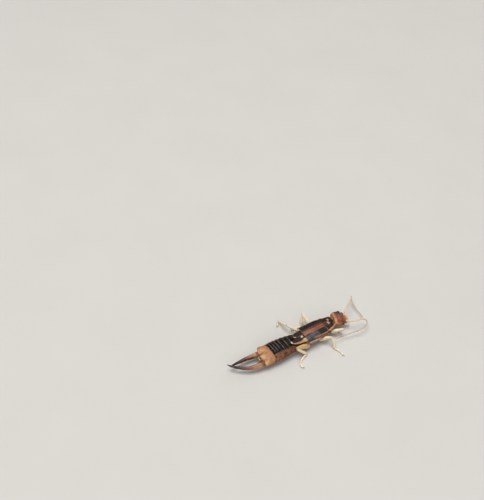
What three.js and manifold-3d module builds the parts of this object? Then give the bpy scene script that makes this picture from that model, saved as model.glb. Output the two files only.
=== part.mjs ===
// Male shore earwig, life size, standing.
// Millimetres, +Z up. The animal faces -Y; its left side is +X. The floor is z = 0.
// The trunk lies along Y with its mid line at x = 0; the whole is centred on its own box at the end.

import * as THREE from 'three';
import { mergeVertices } from 'three/addons/utils/BufferGeometryUtils.js';
import Module from 'manifold-3d';

// ---------------------------------------------------------------- driving sizes

const GAP = 0.035;              // thin cut between neighbouring plates
const SKIN = 0.03;              // clearance round a piece that sits in another

const CENTRE = [-0.066, 2.714]; // x, y of the middle of the whole animal's box, in trunk coordinates

const FEELER_R = 0.25;          // least radius of feelers and feet in these solids
const PLATE_T = 0.5;            // thickness of wing cases and wing tips

// y where each ring of the hind body ends, from the hidden first ring to the ninth
const RING_ENDS = [2.25, 3.3, 4.25, 5.2, 6.25, 7.28, 8.0, 8.6, 9.14, 9.7];
// trunk rows: y, half width, height of middle, rise above it, drop below it
const HIND_BODY = [
  [2.2, 1.36, 1.36, 0.76, 0.70],
  [3.4, 1.62, 1.38, 0.78, 0.74],
  [4.6, 1.82, 1.42, 0.77, 0.78],
  [5.7, 1.93, 1.47, 0.95, 0.82],
  [7.2, 2.03, 1.52, 1.04, 0.86],
  [8.7, 2.11, 1.53, 1.01, 0.86],
  [10.0, 2.08, 1.51, 0.95, 0.81],
];
const LAST_RING = { from: 9.735, to: 11.86, half: 2.14, mid: 1.5, up: 0.9, down: 0.7, swing: 0.2 };
const BEND = { body: 0.14, end: 0.1 };  // how far the hind body bows to the animal's left

const FORE_CORE = [             // prothorax, mesothorax, metathorax under the plates
  [-4.7, 0.78, 1.42, 0.52, 0.62],
  [-3.7, 0.95, 1.42, 0.62, 0.72],
  [-2.5, 1.02, 1.42, 0.68, 0.76],
  [-1.2, 1.18, 1.42, 0.74, 0.78],
  [0.4, 1.27, 1.42, 0.76, 0.78],
  [2.2, 1.26, 1.40, 0.74, 0.74],
];
const CORE_ENDS = [-4.62, -2.52, -0.25, 2.2];

const PRONOTUM = { front: -4.96, rear: -2.58, halfFront: 1.14, halfRear: 1.86, top: 2.66, turn: 4, middle: 0.1 };
const TEGMEN = { front: -2.46, rear: 2.28, half: 2.06, top: 2.9, drop: 1.12 };
const WING_TIP = { start: 2.33, left: 4.3, right: 5.5, half: 1.38, top: 2.76, drop: 0.34 };

const HEAD = { at: [0.56, -5.17, 2.04], yaw: -12, pitch: 8, roll: -9 };
const EYE = { side: 1.34, ahead: 1.88, up: 0.12, r: [0.24, 0.4, 0.29] };

// Each leg: hip, trochanter, knee, ankle, then the foot to its claws
const LEGS = {
  foreleg_right: { path: [[-0.72, -3.5, 0.72], [-1.16, -3.72, 1.0], [-2.38, -5.78, 1.92], [-1.44, -5.53, 0.42]],
    foot: [[-1.27, -6.0, 0.23], [-1.12, -6.42, 0.21], [-1.0, -6.76, 0.22]], femur: 0.53 },
  foreleg_left: { path: [[0.76, -3.5, 0.72], [1.2, -3.66, 0.92], [1.62, -5.85, 1.45], [1.6, -7.1, 0.42]],
    foot: [[1.62, -7.75, 0.23], [1.55, -8.3, 0.21], [1.5, -8.75, 0.22]], femur: 0.45 },
  midleg_right: { path: [[-0.8, -0.5, 0.68], [-1.38, -0.66, 0.86], [-3.06, -2.3, 2.3], [-4.3, -2.25, 0.46]],
    foot: [[-5.05, -2.68, 0.24], [-5.75, -2.84, 0.21], [-6.3, -2.82, 0.22]], femur: 0.44 },
  midleg_left: { path: [[0.8, -0.82, 0.68], [1.5, -1.12, 0.88], [4.44, -0.78, 2.45], [3.34, -0.02, 0.46]],
    foot: [[3.42, 0.45, 0.24], [3.5, 1.35, 0.21], [3.52, 2.05, 0.22]], femur: 0.48 },
  hindleg_right: { path: [[-0.82, 1.35, 0.68], [-1.62, 1.75, 0.8], [-2.12, 5.55, 2.86], [-2.72, 3.26, 0.48]],
    foot: [[-3.25, 4.75, 0.24], [-4.2, 5.66, 0.21], [-4.86, 5.66, 0.22]], femur: 0.54 },
  hindleg_left: { path: [[0.8, 0.85, 0.68], [1.42, 1.2, 0.86], [3.9, 3.2, 1.8], [6.45, 3.2, 0.46]],
    foot: [[6.34, 3.42, 0.26], [6.02, 3.66, 0.21], [5.72, 3.88, 0.22]], femur: 0.46 },
};

// Feelers: the scape's foot is on the head; the rest are points along the feeler
const ANTENNAE = {
  right: [[-1.3, -7.95, 2.08], [-1.88, -8.35, 2.2], [-2.12, -9.5, 2.12], [-2.3, -10.75, 1.98], [-2.95, -11.2, 1.8],
    [-3.62, -10.4, 1.6], [-3.85, -9.1, 1.45], [-3.54, -7.05, 1.3], [-3.26, -5.5, 1.2], [-3.08, -3.55, 1.1]],
  left: [[0.98, -8.7, 2.12], [1.38, -9.4, 2.3], [2.1, -10.65, 2.4], [2.95, -12.0, 2.3], [3.6, -12.62, 1.75],
    [3.3, -12.5, 1.2], [2.5, -12.2, 1.0], [0.95, -11.92, 0.9], [-1.2, -11.85, 0.8]],
};
const ANTENNA_FOOT = { side: 0.82, ahead: 2.56, up: 0.12 };

// Forceps: middle line of each arm
const FORCEPS = {
  right: [[-1.1, 11.75, 1.4], [-1.08, 12.6, 1.35], [-0.86, 13.7, 1.3], [-0.6, 14.75, 1.26], [-0.2, 15.6, 1.27],
    [0.34, 16.4, 1.33], [0.93, 17.14, 1.39], [1.5, 17.72, 1.43], [2.1, 18.18, 1.44]],
  left: [[1.16, 11.6, 1.42], [1.34, 12.75, 1.36], [1.48, 13.75, 1.3], [1.58, 14.75, 1.26], [1.6, 15.7, 1.22],
    [1.62, 16.55, 1.2], [1.6, 17.2, 1.18], [1.46, 17.82, 1.16]],
};
const ARM = { root: 0.58, middle: 0.38, tip: 0.15, tooth: 0.62, toothSize: 0.17 };

const COLOUR = {
  head: 0x8a4a30, eye: 0x24120e, mouth: 0x8c6038, leg: 0xc8ae86, foot: 0xd8c6a4, feeler: 0xa08468,
  plate: 0x2c1a14, margin: 0xa07c58, case: 0x4a261a, wing: 0x30221e, ring: 0x3a2018, last: 0xb07c48,
  pincer: 0x7c5236, soft: 0xa88c68,
};

// ---------------------------------------------------------------- shape helpers

const wasm = await Module();
wasm.setup();

const V = (x, y, z) => new THREE.Vector3(x, y, z);
const rad = THREE.MathUtils.degToRad;
const mix = THREE.MathUtils.lerp;
const pow = (v, e) => Math.sign(v) * Math.abs(v) ** e;
const bump = (x, c, w) => Math.exp(-(((x - c) / w) ** 2));
const rise = (a, b, x) => THREE.MathUtils.smoothstep(x, a, b);
const bend = (y) => BEND.body * rise(2.6, 4.4, y) + BEND.end * rise(9.4, 11.4, y);

// Smooth value of every column of a table at key k (first column)
function row(table, k) {
  let i = 0;
  while (i < table.length - 2 && k > table[i + 1][0]) i++;
  const a = table[Math.max(i - 1, 0)], b = table[i], c = table[i + 1], d = table[Math.min(i + 2, table.length - 1)];
  const t = THREE.MathUtils.clamp((k - b[0]) / (c[0] - b[0]), 0, 1);
  return b.map((_, j) => {
    const m0 = (c[j] - a[j]) / 2, m1 = (d[j] - b[j]) / 2;
    return b[j] + t * (m0 + t * (3 * (c[j] - b[j]) - 2 * m0 - m1 + t * (2 * (b[j] - c[j]) + m0 + m1)));
  });
}

// A closed skin over a row of rings with equally many points, fanned shut at both ends
function skin(rings, ends = []) {
  const n = rings[0].length, pos = [], idx = [];
  for (const ring of rings) for (const p of ring) pos.push(p.x, p.y, p.z);
  for (let r = 0; r + 1 < rings.length; r++) {
    for (let i = 0; i < n; i++) {
      const a = r * n + i, b = r * n + ((i + 1) % n);
      idx.push(a, b, b + n, a, b + n, a + n);
    }
  }
  const cap = (ring, base, tip, flip) => {
    const c = tip ?? ring.reduce((s, p) => s.add(p), V(0, 0, 0)).divideScalar(n);
    const k = pos.length / 3;
    pos.push(c.x, c.y, c.z);
    for (let i = 0; i < n; i++) {
      const a = base + i, b = base + ((i + 1) % n);
      idx.push(...(flip ? [a, b, k] : [b, a, k]));
    }
  };
  cap(rings[0], 0, ends[0], false);
  cap(rings.at(-1), (rings.length - 1) * n, ends[1], true);
  const g = new THREE.BufferGeometry();
  g.setAttribute('position', new THREE.Float32BufferAttribute(pos, 3));
  g.setIndex(idx);
  return outward(g);
}

// Turn the faces round where the enclosed volume comes out negative
function outward(g) {
  const p = g.attributes.position, ix = g.index.array, a = V(), b = V(), c = V();
  let v = 0;
  for (let i = 0; i < ix.length; i += 3) {
    a.fromBufferAttribute(p, ix[i]); b.fromBufferAttribute(p, ix[i + 1]); c.fromBufferAttribute(p, ix[i + 2]);
    v += a.dot(b.cross(c));
  }
  if (v < 0) for (let i = 0; i < ix.length; i += 3) [ix[i], ix[i + 1]] = [ix[i + 1], ix[i]];
  return g;
}

// A rounded ring across the trunk at y
function trunkRing(y, [, half, mid, up, down], n, grow = 0, square = 2.3, shape = null) {
  const aside = bend(y);
  return Array.from({ length: n }, (_, i) => {
    const t = (2 * Math.PI * (i + 0.5)) / n, s = Math.sin(t);
    const x = (half + grow) * pow(Math.cos(t), 2 / square);
    let z = mid + ((s > 0 ? up : down) + grow) * pow(s, 2 / square);
    if (shape) z += shape(x, y, s);
    return V(x + aside, y, z);
  });
}

// A limb: oval rings along a curve. width(t) lies in the plane of the bend, depth(t) across it.
function limb(points, width, depth, { rings = 6, sides = 8, normal = V(0, 0, 1), grow = 0, blunt = [true, true] } = {}) {
  const curve = new THREE.CatmullRomCurve3(points, false, 'centripetal');
  const list = [], total = curve.getLength();
  for (let r = 0; r <= rings; r++) {
    const t = r / rings, c = curve.getPointAt(t), dir = curve.getTangentAt(t);
    const u = V().crossVectors(normal, dir).normalize(), w = V().crossVectors(dir, u).normalize();
    list.push({ c, dir, u, w, a: width(t) + grow, b: depth(t) + grow });
  }
  const ring = ({ c, u, w, a, b }, k, shift, dir) => Array.from({ length: sides }, (_, i) => {
    const q = (2 * Math.PI * (i + 0.5)) / sides;
    return c.clone().addScaledVector(dir, shift).addScaledVector(u, a * k * Math.cos(q)).addScaledVector(w, b * k * Math.sin(q));
  });
  const first = list[0], last = list.at(-1);
  const out = list.map((l) => ring(l, 1, 0, l.dir));
  const ends = [];
  if (blunt[0]) {
    out.unshift(ring(first, 0.66, -0.45 * first.a, first.dir));
    ends[0] = first.c.clone().addScaledVector(first.dir, -0.62 * first.a - grow);
  }
  if (blunt[1]) {
    out.push(ring(last, 0.66, 0.45 * last.a, last.dir));
    ends[1] = last.c.clone().addScaledVector(last.dir, 0.62 * last.a + grow);
  }
  return skin(out, ends);
}

function toSolid(g) {
  const m = mergeVertices(g, 1e-5);
  return new wasm.Manifold(new wasm.Mesh({
    numProp: 3,
    vertProperties: new Float32Array(m.attributes.position.array),
    triVerts: new Uint32Array(m.index.array),
  }));
}

function toGeometry(s) {
  const m = s.getMesh(), g = new THREE.BufferGeometry();
  g.setAttribute('position', new THREE.BufferAttribute(new Float32Array(m.vertProperties), 3));
  g.setIndex(new THREE.BufferAttribute(new Uint32Array(m.triVerts), 1));
  return g;
}

// Cut the tools away and keep the largest body left
const cut = (g, ...tools) => toGeometry(tools.reduce((s, t) => s.subtract(toSolid(t)), toSolid(g))
  .decompose().reduce((a, b) => (b.volume() > a.volume() ? b : a)));
const join = (g, ...more) => toGeometry(more.reduce((s, t) => s.add(toSolid(t)), toSolid(g)));

// An egg shape with the given half sizes
function egg(centre, r, frame = new THREE.Matrix4(), grow = 0, detail = [14, 9]) {
  const g = new THREE.SphereGeometry(1, ...detail);
  g.deleteAttribute('normal');
  g.deleteAttribute('uv');
  g.scale(r[0] + grow, r[1] + grow, r[2] + grow);
  g.translate(...centre);
  g.applyMatrix4(frame);
  return outward(mergeVertices(g, 1e-5));
}

// ---------------------------------------------------------------- the scene graph

const animal = new THREE.Group();
animal.position.set(-CENTRE[0], -CENTRE[1], 0);

const group = () => { const g = new THREE.Group(); animal.add(g); return g; };
const headGroup = group(), trunkGroup = group(), wingGroup = group(), legGroup = group(), tailGroup = group();

function part(parent, name, geometry, colour, roughness = 0.35) {
  geometry.computeBoundingBox();
  const at = geometry.boundingBox.getCenter(V());
  at.set(...at.toArray().map((v) => Math.round(v * 8) / 8));
  geometry.translate(-at.x, -at.y, -at.z);
  geometry.computeVertexNormals();
  const mesh = new THREE.Mesh(geometry, new THREE.MeshStandardMaterial({ color: colour, roughness, metalness: 0 }));
  mesh.name = name;
  mesh.position.copy(at);
  parent.add(mesh);
  return mesh;
}

// ---------------------------------------------------------------- hind body

// Each ring swells a little behind its front edge, as overlapping plates do
function bodyRing(k) {
  const y0 = RING_ENDS[k - 1] + GAP / 2, y1 = RING_ENDS[k] - GAP / 2, rings = [];
  for (const [t, grow] of [[0, -0.06], [0.35, 0], [1, 0.015]]) {
    const y = mix(y0, y1, t);
    rings.push(trunkRing(y, row(HIND_BODY, y), 18, grow));
  }
  return skin(rings);
}

// The last plate: broad, domed over the roots of the pincers, with a furrow down the middle
const lastShape = (x, y, s) => {
  if (s <= 0) return 0;
  const t = (y - LAST_RING.from) / (LAST_RING.to - LAST_RING.from);
  return s * (0.16 * t * (bump(Math.abs(x), 1.15, 0.5) - 0.8 * bump(x, 0, 0.3)) - 0.22 * t * t);
};
// It turns a little to the animal's left, with the pincers
function swung(geometry) {
  const p = geometry.attributes.position;
  for (let i = 0; i < p.count; i++) {
    const t = Math.max(0, (p.getY(i) - LAST_RING.from) / (LAST_RING.to - LAST_RING.from)), x = p.getX(i);
    p.setXY(i, x + 0.1 * t * t, p.getY(i) - LAST_RING.swing * x * t ** 1.5);
  }
  return geometry;
}
{
  const L = LAST_RING, rings = [];
  for (const [t, k, drop] of [[0, 0.93, 0], [0.25, 0.98, 0], [0.6, 1, 0.02], [0.85, 0.985, 0.05], [1, 0.91, 0.12]]) {
    const y = mix(L.from, L.to, t);
    rings.push(trunkRing(y, [y, L.half * k, L.mid - 0.04 * t, L.up - drop, L.down - drop], 22, 0, 2.7, lastShape));
  }
  part(tailGroup, 'abdomen_10', swung(skin(rings)), COLOUR.last);
}

// ---------------------------------------------------------------- pincers

function pincer(side, grow = 0) {
  const pts = FORCEPS[side].map((p) => V(...p));
  const width = (t) => mix(mix(ARM.root, ARM.middle, Math.min(1, t * 2.2)), ARM.tip, Math.max(0, (t - 0.45) / 0.55) ** 1.1);
  const depth = (t) => 0.95 * width(t);
  return limb(pts, width, depth, { rings: 11, sides: 8, grow });
}
const tooth = (side) => {
  const curve = new THREE.CatmullRomCurve3(FORCEPS[side].map((p) => V(...p)), false, 'centripetal');
  const c = curve.getPointAt(ARM.tooth), d = curve.getTangentAt(ARM.tooth);
  const inward = V().crossVectors(d, V(0, 0, 1)).normalize().multiplyScalar(side === 'left' ? -1 : 1);
  const g = new THREE.ConeGeometry(ARM.toothSize, 0.42, 6);
  g.deleteAttribute('normal'); g.deleteAttribute('uv');
  g.applyQuaternion(new THREE.Quaternion().setFromUnitVectors(V(0, 1, 0), inward));
  g.translate(c.x + inward.x * 0.3, c.y + inward.y * 0.3, c.z);
  return outward(mergeVertices(g, 1e-5));
};
const lastBlock = (() => {
  const L = LAST_RING;
  const rings = [0, 1].map((t) => trunkRing(mix(10.8, L.to + GAP, t), [0, L.half + 0.3, L.mid, 2, 2], 12));
  return swung(skin(rings));
})();
const armRight = cut(join(pincer('right'), tooth('right')), lastBlock);
const armLeft = cut(join(pincer('left'), tooth('left')), lastBlock, pincer('right', SKIN));
part(tailGroup, 'forceps_right', armRight, COLOUR.pincer);
part(tailGroup, 'forceps_left', armLeft, COLOUR.pincer);

// Small end plate between the pincers
{
  const g = egg([0.22, 12.1, 1.26], [0.5, 0.44, 0.3], undefined, 0, [10, 7]);
  part(tailGroup, 'pygidium', cut(g, lastBlock, pincer('right', SKIN), pincer('left', SKIN)), COLOUR.margin);
}

// ---------------------------------------------------------------- legs

const legSolids = {};
for (const [name, leg] of Object.entries(LEGS)) {
  const [hip, troch, knee, ankle] = leg.path.map((p) => V(...p));
  const foot = leg.foot.map((p) => V(...p));
  const normal = V().crossVectors(V().subVectors(knee, troch), V().subVectors(ankle, knee)).normalize();
  const F = leg.femur;
  const thigh = (grow = 0) => {
    const width = (t) => F * (0.62 + 0.38 * Math.sin(Math.PI * Math.min(1, 0.16 + t * 0.95)) ** 0.8) * (1 - 0.22 * t);
    const belly = V().addVectors(troch, knee).multiplyScalar(0.5).add(V(0, 0, 0.06));
    return limb([troch, belly, knee], width, (t) => Math.max(FEELER_R, 0.74 * width(t)), { rings: 5, sides: 7, normal, grow });
  };
  const hipPiece = (grow = 0) => limb([hip, V().addVectors(hip, troch).multiplyScalar(0.5), troch],
    (t) => mix(0.36, 0.3, t), (t) => mix(0.34, 0.29, t), { rings: 2, sides: 7, normal: V(0, 0, 1), grow, blunt: [true, false] });
  const bow = V().addVectors(knee, ankle).multiplyScalar(0.5).addScaledVector(V().crossVectors(normal, V().subVectors(ankle, knee)).normalize(), -0.05);
  const shin = (grow = 0) => limb([knee, bow, ankle], (t) => mix(0.27, 0.25, t), () => FEELER_R, { rings: 4, sides: 7, normal, grow });
  const path = [ankle, ...foot];
  const sole = (grow = 0) => {
    const g = limb(path, () => FEELER_R, () => FEELER_R, { rings: 5, sides: 7, grow });
    const p = g.attributes.position;
    for (let i = 0; i < p.count; i++) if (p.getZ(i) < 0.02) p.setZ(i, 0);
    return g;
  };
  const toe = foot.at(-1), run = V().subVectors(toe, foot.at(-2)).setZ(0).normalize();
  const claw = (s) => {
    const g = new THREE.ConeGeometry(0.11, 0.46, 4);
    g.deleteAttribute('normal'); g.deleteAttribute('uv');
    const d = run.clone().applyAxisAngle(V(0, 0, 1), s * 0.5).setZ(-0.12).normalize();
    g.applyQuaternion(new THREE.Quaternion().setFromUnitVectors(V(0, 1, 0), d));
    g.translate(toe.x + d.x * 0.34, toe.y + d.y * 0.34, 0.2 + d.z * 0.34);
    return outward(mergeVertices(g, 1e-5));
  };
  const femur = join(thigh(), hipPiece());
  const tibia = cut(shin(), thigh(SKIN));
  const tarsus = cut(join(sole(), claw(1), claw(-1)), shin(SKIN));
  legSolids[name] = { hipGrown: hipPiece(SKIN), thighGrown: thigh(SKIN) };
  part(legGroup, `${name}_femur`, femur, COLOUR.leg);
  part(legGroup, `${name}_tibia`, tibia, COLOUR.leg);
  part(legGroup, `${name}_tarsus`, tarsus, COLOUR.foot);
}

for (let k = 1; k <= 9; k++) {
  const near = k < 3 ? ['hindleg_left', 'hindleg_right'].flatMap((n) => [legSolids[n].hipGrown, legSolids[n].thighGrown]) : [];
  part(trunkGroup, `abdomen_${k}`, near.length ? cut(bodyRing(k), ...near) : bodyRing(k), COLOUR.ring);
}

// ---------------------------------------------------------------- fore body under the plates

['prothorax', 'mesothorax', 'metathorax'].forEach((name, k) => {
  const y0 = CORE_ENDS[k] + GAP / 2, y1 = CORE_ENDS[k + 1] - GAP / 2;
  const rings = [0, 0.33, 0.67, 1].map((t) => trunkRing(mix(y0, y1, t), row(FORE_CORE, mix(y0, y1, t)), 14, t === 0 || t === 1 ? -0.03 : 0.02));
  const hips = Object.entries(LEGS).filter(([leg]) => leg.startsWith(['foreleg', 'midleg', 'hindleg'][k])).map(([leg]) => legSolids[leg]);
  part(trunkGroup, name, cut(skin(rings), ...hips.flatMap((h) => [h.hipGrown, h.thighGrown])), COLOUR.soft);
});

// ---------------------------------------------------------------- plates of the back

// A curved plate: outline(t) gives the two side limits at each station, surface(x, y) its upper face
function plate(stations, limits, surface, thickness, across = 8) {
  const rings = stations.map((y) => {
    const [x0, x1] = limits(y), top = [], low = [];
    for (let i = 0; i <= across; i++) {
      const u = i / across, x = mix(x0, x1, u);
      top.push(V(x, y, surface(x, y)));
      low.push(V(x, y, surface(x, y) - thickness(x, y)));
    }
    return [...top, ...low.reverse()];
  });
  return skin(rings);
}

const spread = (a, b, n, ends = 0.5) => Array.from({ length: n + 1 }, (_, i) => {
  const t = i / n;
  return mix(a, b, mix(t, 0.5 - 0.5 * Math.cos(Math.PI * t), ends));
});

{
  const P = PRONOTUM, turn = rad(P.turn), c = V(P.middle, (P.front + P.rear) / 2, 0);
  const span = P.rear - P.front;
  const half = (y) => {
    const t = (y - P.front) / span;
    return mix(P.halfFront, P.halfRear, t) * (1 - 0.13 * (1 - t) ** 6 - 0.07 * t ** 9) * (0.985 + 0.015 * Math.sin(Math.PI * t));
  };
  const g = plate(spread(P.front, P.rear, 6), (y) => [-half(y), half(y)],
    (x, y) => P.top - 0.15 * (x / P.halfRear) ** 2 - 0.16 * Math.abs(x / P.halfRear) ** 6 - 0.1 * ((P.rear - y) / span) ** 2, () => 0.42, 6);
  g.translate(0, -c.y, 0);
  g.rotateZ(turn);
  g.translate(c.x, c.y, 0);
  part(trunkGroup, 'pronotum', g, COLOUR.plate);
}

// Wing cases: flat on the back, turned down along the outer edge
function wingCase(side) {
  const T = TEGMEN, n = 8;
  const rings = spread(T.front, T.rear, 5, 0.3).map((y) => {
    const t = (y - T.front) / (T.rear - T.front);
    const half = T.half * (1 - 0.09 * (1 - t) ** 8) * (1 - 0.06 * t);
    const slope = 0.1 * (1 - t) ** 4;
    const outer = [], inner = [];
    for (let i = 0; i < n; i++) {
      const u = i / (n - 1), a = u * rad(82);
      const x = side * mix(GAP / 2, half, Math.sin(a) / Math.sin(rad(82)));
      const z = T.top - slope - T.drop * (1 - Math.cos(a)) ** 1.6;
      const nx = side * Math.sin(a) ** 2.2, nz = Math.cos(a) ** 0.6;
      const l = Math.hypot(nx, nz);
      outer.push(V(x, y, z));
      inner.push(V(u === 0 ? x : x - (PLATE_T * nx) / l, y, z - (PLATE_T * nz) / l));
    }
    return [...outer, ...inner.reverse()];
  });
  return skin(rings);
}
part(wingGroup, 'tegmen_left', wingCase(1), COLOUR.case, 0.3);
part(wingGroup, 'tegmen_right', wingCase(-1), COLOUR.case, 0.3);

// Folded wing tips showing behind the cases
function wingTip(side, rear) {
  const W = WING_TIP, span = rear - W.start;
  const ys = [0, 0.3, 0.55, 0.78, 0.93, 1].map((t) => mix(W.start, rear, t));
  return plate(ys, (y) => {
    const t = (y - W.start) / span;
    const wide = W.half * (1 - 0.12 * t) * Math.sqrt(Math.max(0, 1 - (0.97 * t) ** 5));
    const tuck = 0.32 * t ** 5;
    return side > 0 ? [GAP / 2 + tuck, Math.max(wide, tuck + 0.2)] : [-Math.max(wide, tuck + 0.2), -GAP / 2 - tuck];
  }, (x, y) => W.top - 0.03 * (y - W.start) - W.drop * Math.abs(x / W.half) ** 3,
  (x, y) => PLATE_T - 0.08 - 0.1 * ((y - W.start) / span) ** 3, 6);
}
part(wingGroup, 'wing_tip_left', wingTip(1, WING_TIP.left), COLOUR.wing, 0.3);
part(wingGroup, 'wing_tip_right', wingTip(-1, WING_TIP.right), COLOUR.wing, 0.3);

// ---------------------------------------------------------------- head

// Head coordinates: x to its left, y to its rear, z up, with the origin at the back of the head
const headPose = new THREE.Matrix4().makeRotationFromEuler(new THREE.Euler(rad(HEAD.pitch), rad(HEAD.roll), rad(HEAD.yaw), 'ZYX'));
headPose.setPosition(...HEAD.at);
const onHead = (side, ahead, up) => V(side, -ahead, up).applyMatrix4(headPose);

const HEAD_ROWS = [             // ahead, half width, height of middle, rise, drop
  [0.0, 0.94, 0.02, 0.4, 0.42],
  [0.25, 1.22, 0.03, 0.5, 0.5],
  [0.75, 1.46, 0.04, 0.6, 0.56],
  [1.3, 1.53, 0.04, 0.62, 0.58],
  [1.85, 1.45, 0.02, 0.58, 0.56],
  [2.3, 1.27, -0.02, 0.48, 0.5],
  [2.7, 0.96, -0.06, 0.36, 0.42],
  [3.0, 0.64, -0.1, 0.24, 0.32],
];
function capsule(grow = 0) {
  const rings = HEAD_ROWS.map(([f, ...r]) => trunkRing(-f - Math.sign(f - 1.5) * grow, [0, ...r], 16, grow, 2.35));
  return skin(rings).applyMatrix4(headPose);
}
const eyeball = (side, grow = 0) => egg([side * EYE.side, -EYE.ahead, EYE.up], EYE.r, headPose, grow, [10, 7]);
const head = cut(outward(capsule()), eyeball(1, SKIN), eyeball(-1, SKIN));
part(headGroup, 'head', head, COLOUR.head);
part(headGroup, 'eye_left', eyeball(1), COLOUR.eye, 0.2);
part(headGroup, 'eye_right', eyeball(-1), COLOUR.eye, 0.2);

const headGrown = outward(capsule(SKIN));

// Neck, tucked under the front of the pronotum
{
  const back = trunkRing(-4.66, [0, 0.54, 1.48, 0.36, 0.42], 10), mid = trunkRing(-4.8, [0, 0.56, 1.5, 0.38, 0.42], 10);
  const front = trunkRing(-5.3, [0, 0.56, 1.58, 0.38, 0.42], 10).map((p) => p.add(V(0.26, 0, 0)));
  part(headGroup, 'neck', cut(skin([back, mid, front]), headGrown), COLOUR.soft);
}

// Mouth: upper lip, two jaws, lower lip, and a palp on each side
const lip = (grow = 0) => {
  const rings = [[2.98, 0.58, 0.17], [3.2, 0.54, 0.16], [3.42, 0.42, 0.13], [3.54, 0.24, 0.1]].map(([f, half, z]) =>
    trunkRing(-f, [0, half, -0.1 - 0.16 * (f - 2.98), z, z], 10, grow, 2.6));
  return outward(skin(rings).applyMatrix4(headPose));
};
part(headGroup, 'labrum', cut(lip(), headGrown), COLOUR.mouth);

const jaw = (s, grow = 0) => limb([[0.66, 2.5, -0.5], [0.7, 3.0, -0.5], [0.52, 3.38, -0.48], [0.2, 3.55, -0.46]].map(([x, f, z]) => onHead(s * x, f, z)),
  (t) => mix(0.3, 0.14, t ** 1.5), (t) => mix(0.2, 0.13, t), { rings: 4, sides: 7, normal: V(0, 0, 1), grow });
const jawRight = cut(jaw(-1), headGrown, lip(SKIN));
const jawLeft = cut(jaw(1), headGrown, lip(SKIN), jaw(-1, SKIN));
part(headGroup, 'mandible_left', jawLeft, COLOUR.mouth);
part(headGroup, 'mandible_right', jawRight, COLOUR.mouth);

const chin = (grow = 0) => limb([[0, 1.5, -0.66], [0, 2.2, -0.76], [0, 2.95, -0.84]].map(([x, f, z]) => onHead(x, f, z)),
  () => 0.42, () => 0.17, { rings: 3, sides: 8, normal: V(0, 0, 1), grow });
part(headGroup, 'labium', cut(chin(), headGrown, jaw(1, SKIN), jaw(-1, SKIN)), COLOUR.mouth);

const palp = (s, grow = 0) => limb([[0.86, 2.2, -0.6], [1.12, 2.7, -0.64], [1.22, 3.2, -0.56], [1.1, 3.7, -0.62]].map(([x, f, z]) => onHead(s * x, f, z)),
  () => FEELER_R, () => FEELER_R, { rings: 5, sides: 6, grow });
for (const [side, s] of [['left', 1], ['right', -1]]) {
  part(headGroup, `palp_${side}`, cut(palp(s), headGrown, jaw(s, SKIN), chin(SKIN)), COLOUR.feeler);
}

// Feelers, each in four lengths
for (const [side, s] of [['left', 1], ['right', -1]]) {
  const foot = onHead(s * ANTENNA_FOOT.side, ANTENNA_FOOT.ahead, ANTENNA_FOOT.up);
  const pts = ANTENNAE[side].map((p) => V(...p));
  const curve = new THREE.CatmullRomCurve3(pts, false, 'centripetal');
  const long = curve.getLength(), names = ['flagellum_1', 'flagellum_2', 'flagellum_3'];
  part(headGroup, `antenna_${side}_scape`, cut(limb([foot, V().addVectors(foot, pts[0]).multiplyScalar(0.5), pts[0].clone().addScaledVector(V().subVectors(pts[0], foot).normalize(), -FEELER_R * 0.7)],
    (t) => mix(FEELER_R, 0.29, t), (t) => mix(FEELER_R, 0.29, t), { rings: 2, sides: 6 }), headGrown), COLOUR.feeler);
  names.forEach((n, k) => {
    const slack = (0.62 * FEELER_R + GAP) / long;
    const t0 = k / 3 + slack, t1 = (k + 1) / 3 - (k < 2 ? slack : 0), m = 6;
    const piece = Array.from({ length: m + 1 }, (_, i) => curve.getPointAt(mix(t0, t1, i / m)));
    part(headGroup, `antenna_${side}_${n}`, limb(piece, () => FEELER_R, () => FEELER_R, { rings: m, sides: 6 }), COLOUR.feeler);
  });
}

export default animal;
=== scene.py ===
"""Male shore earwig, life size, standing on a pale floor in soft light."""
import math

import bpy
import numpy as np
from mathutils import Matrix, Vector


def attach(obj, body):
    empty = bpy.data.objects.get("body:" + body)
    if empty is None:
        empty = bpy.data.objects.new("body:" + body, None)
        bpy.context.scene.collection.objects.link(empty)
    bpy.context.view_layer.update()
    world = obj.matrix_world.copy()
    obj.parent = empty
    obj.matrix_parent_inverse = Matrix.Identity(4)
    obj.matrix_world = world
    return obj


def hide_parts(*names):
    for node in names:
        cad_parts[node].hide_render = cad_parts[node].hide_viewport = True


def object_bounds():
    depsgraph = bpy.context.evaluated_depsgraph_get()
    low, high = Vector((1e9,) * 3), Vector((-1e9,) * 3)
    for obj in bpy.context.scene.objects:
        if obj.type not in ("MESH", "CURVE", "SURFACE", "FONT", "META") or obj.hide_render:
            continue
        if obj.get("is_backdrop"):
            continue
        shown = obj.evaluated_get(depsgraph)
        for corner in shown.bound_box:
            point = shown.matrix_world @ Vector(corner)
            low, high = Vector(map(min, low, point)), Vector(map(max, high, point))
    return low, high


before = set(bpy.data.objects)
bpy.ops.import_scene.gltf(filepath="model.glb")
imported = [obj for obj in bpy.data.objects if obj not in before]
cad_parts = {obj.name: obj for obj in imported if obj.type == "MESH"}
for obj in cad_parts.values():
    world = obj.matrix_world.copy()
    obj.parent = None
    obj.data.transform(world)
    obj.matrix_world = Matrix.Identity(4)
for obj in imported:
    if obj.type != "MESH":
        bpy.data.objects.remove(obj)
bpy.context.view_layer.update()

rng = np.random.default_rng(20)

# ---------------------------------------------------------------- sizes, in millimetres
# Trunk coordinates: the animal faces -Y, its left is +X, the floor is z = 0, the trunk's mid line is x = 0.

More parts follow.
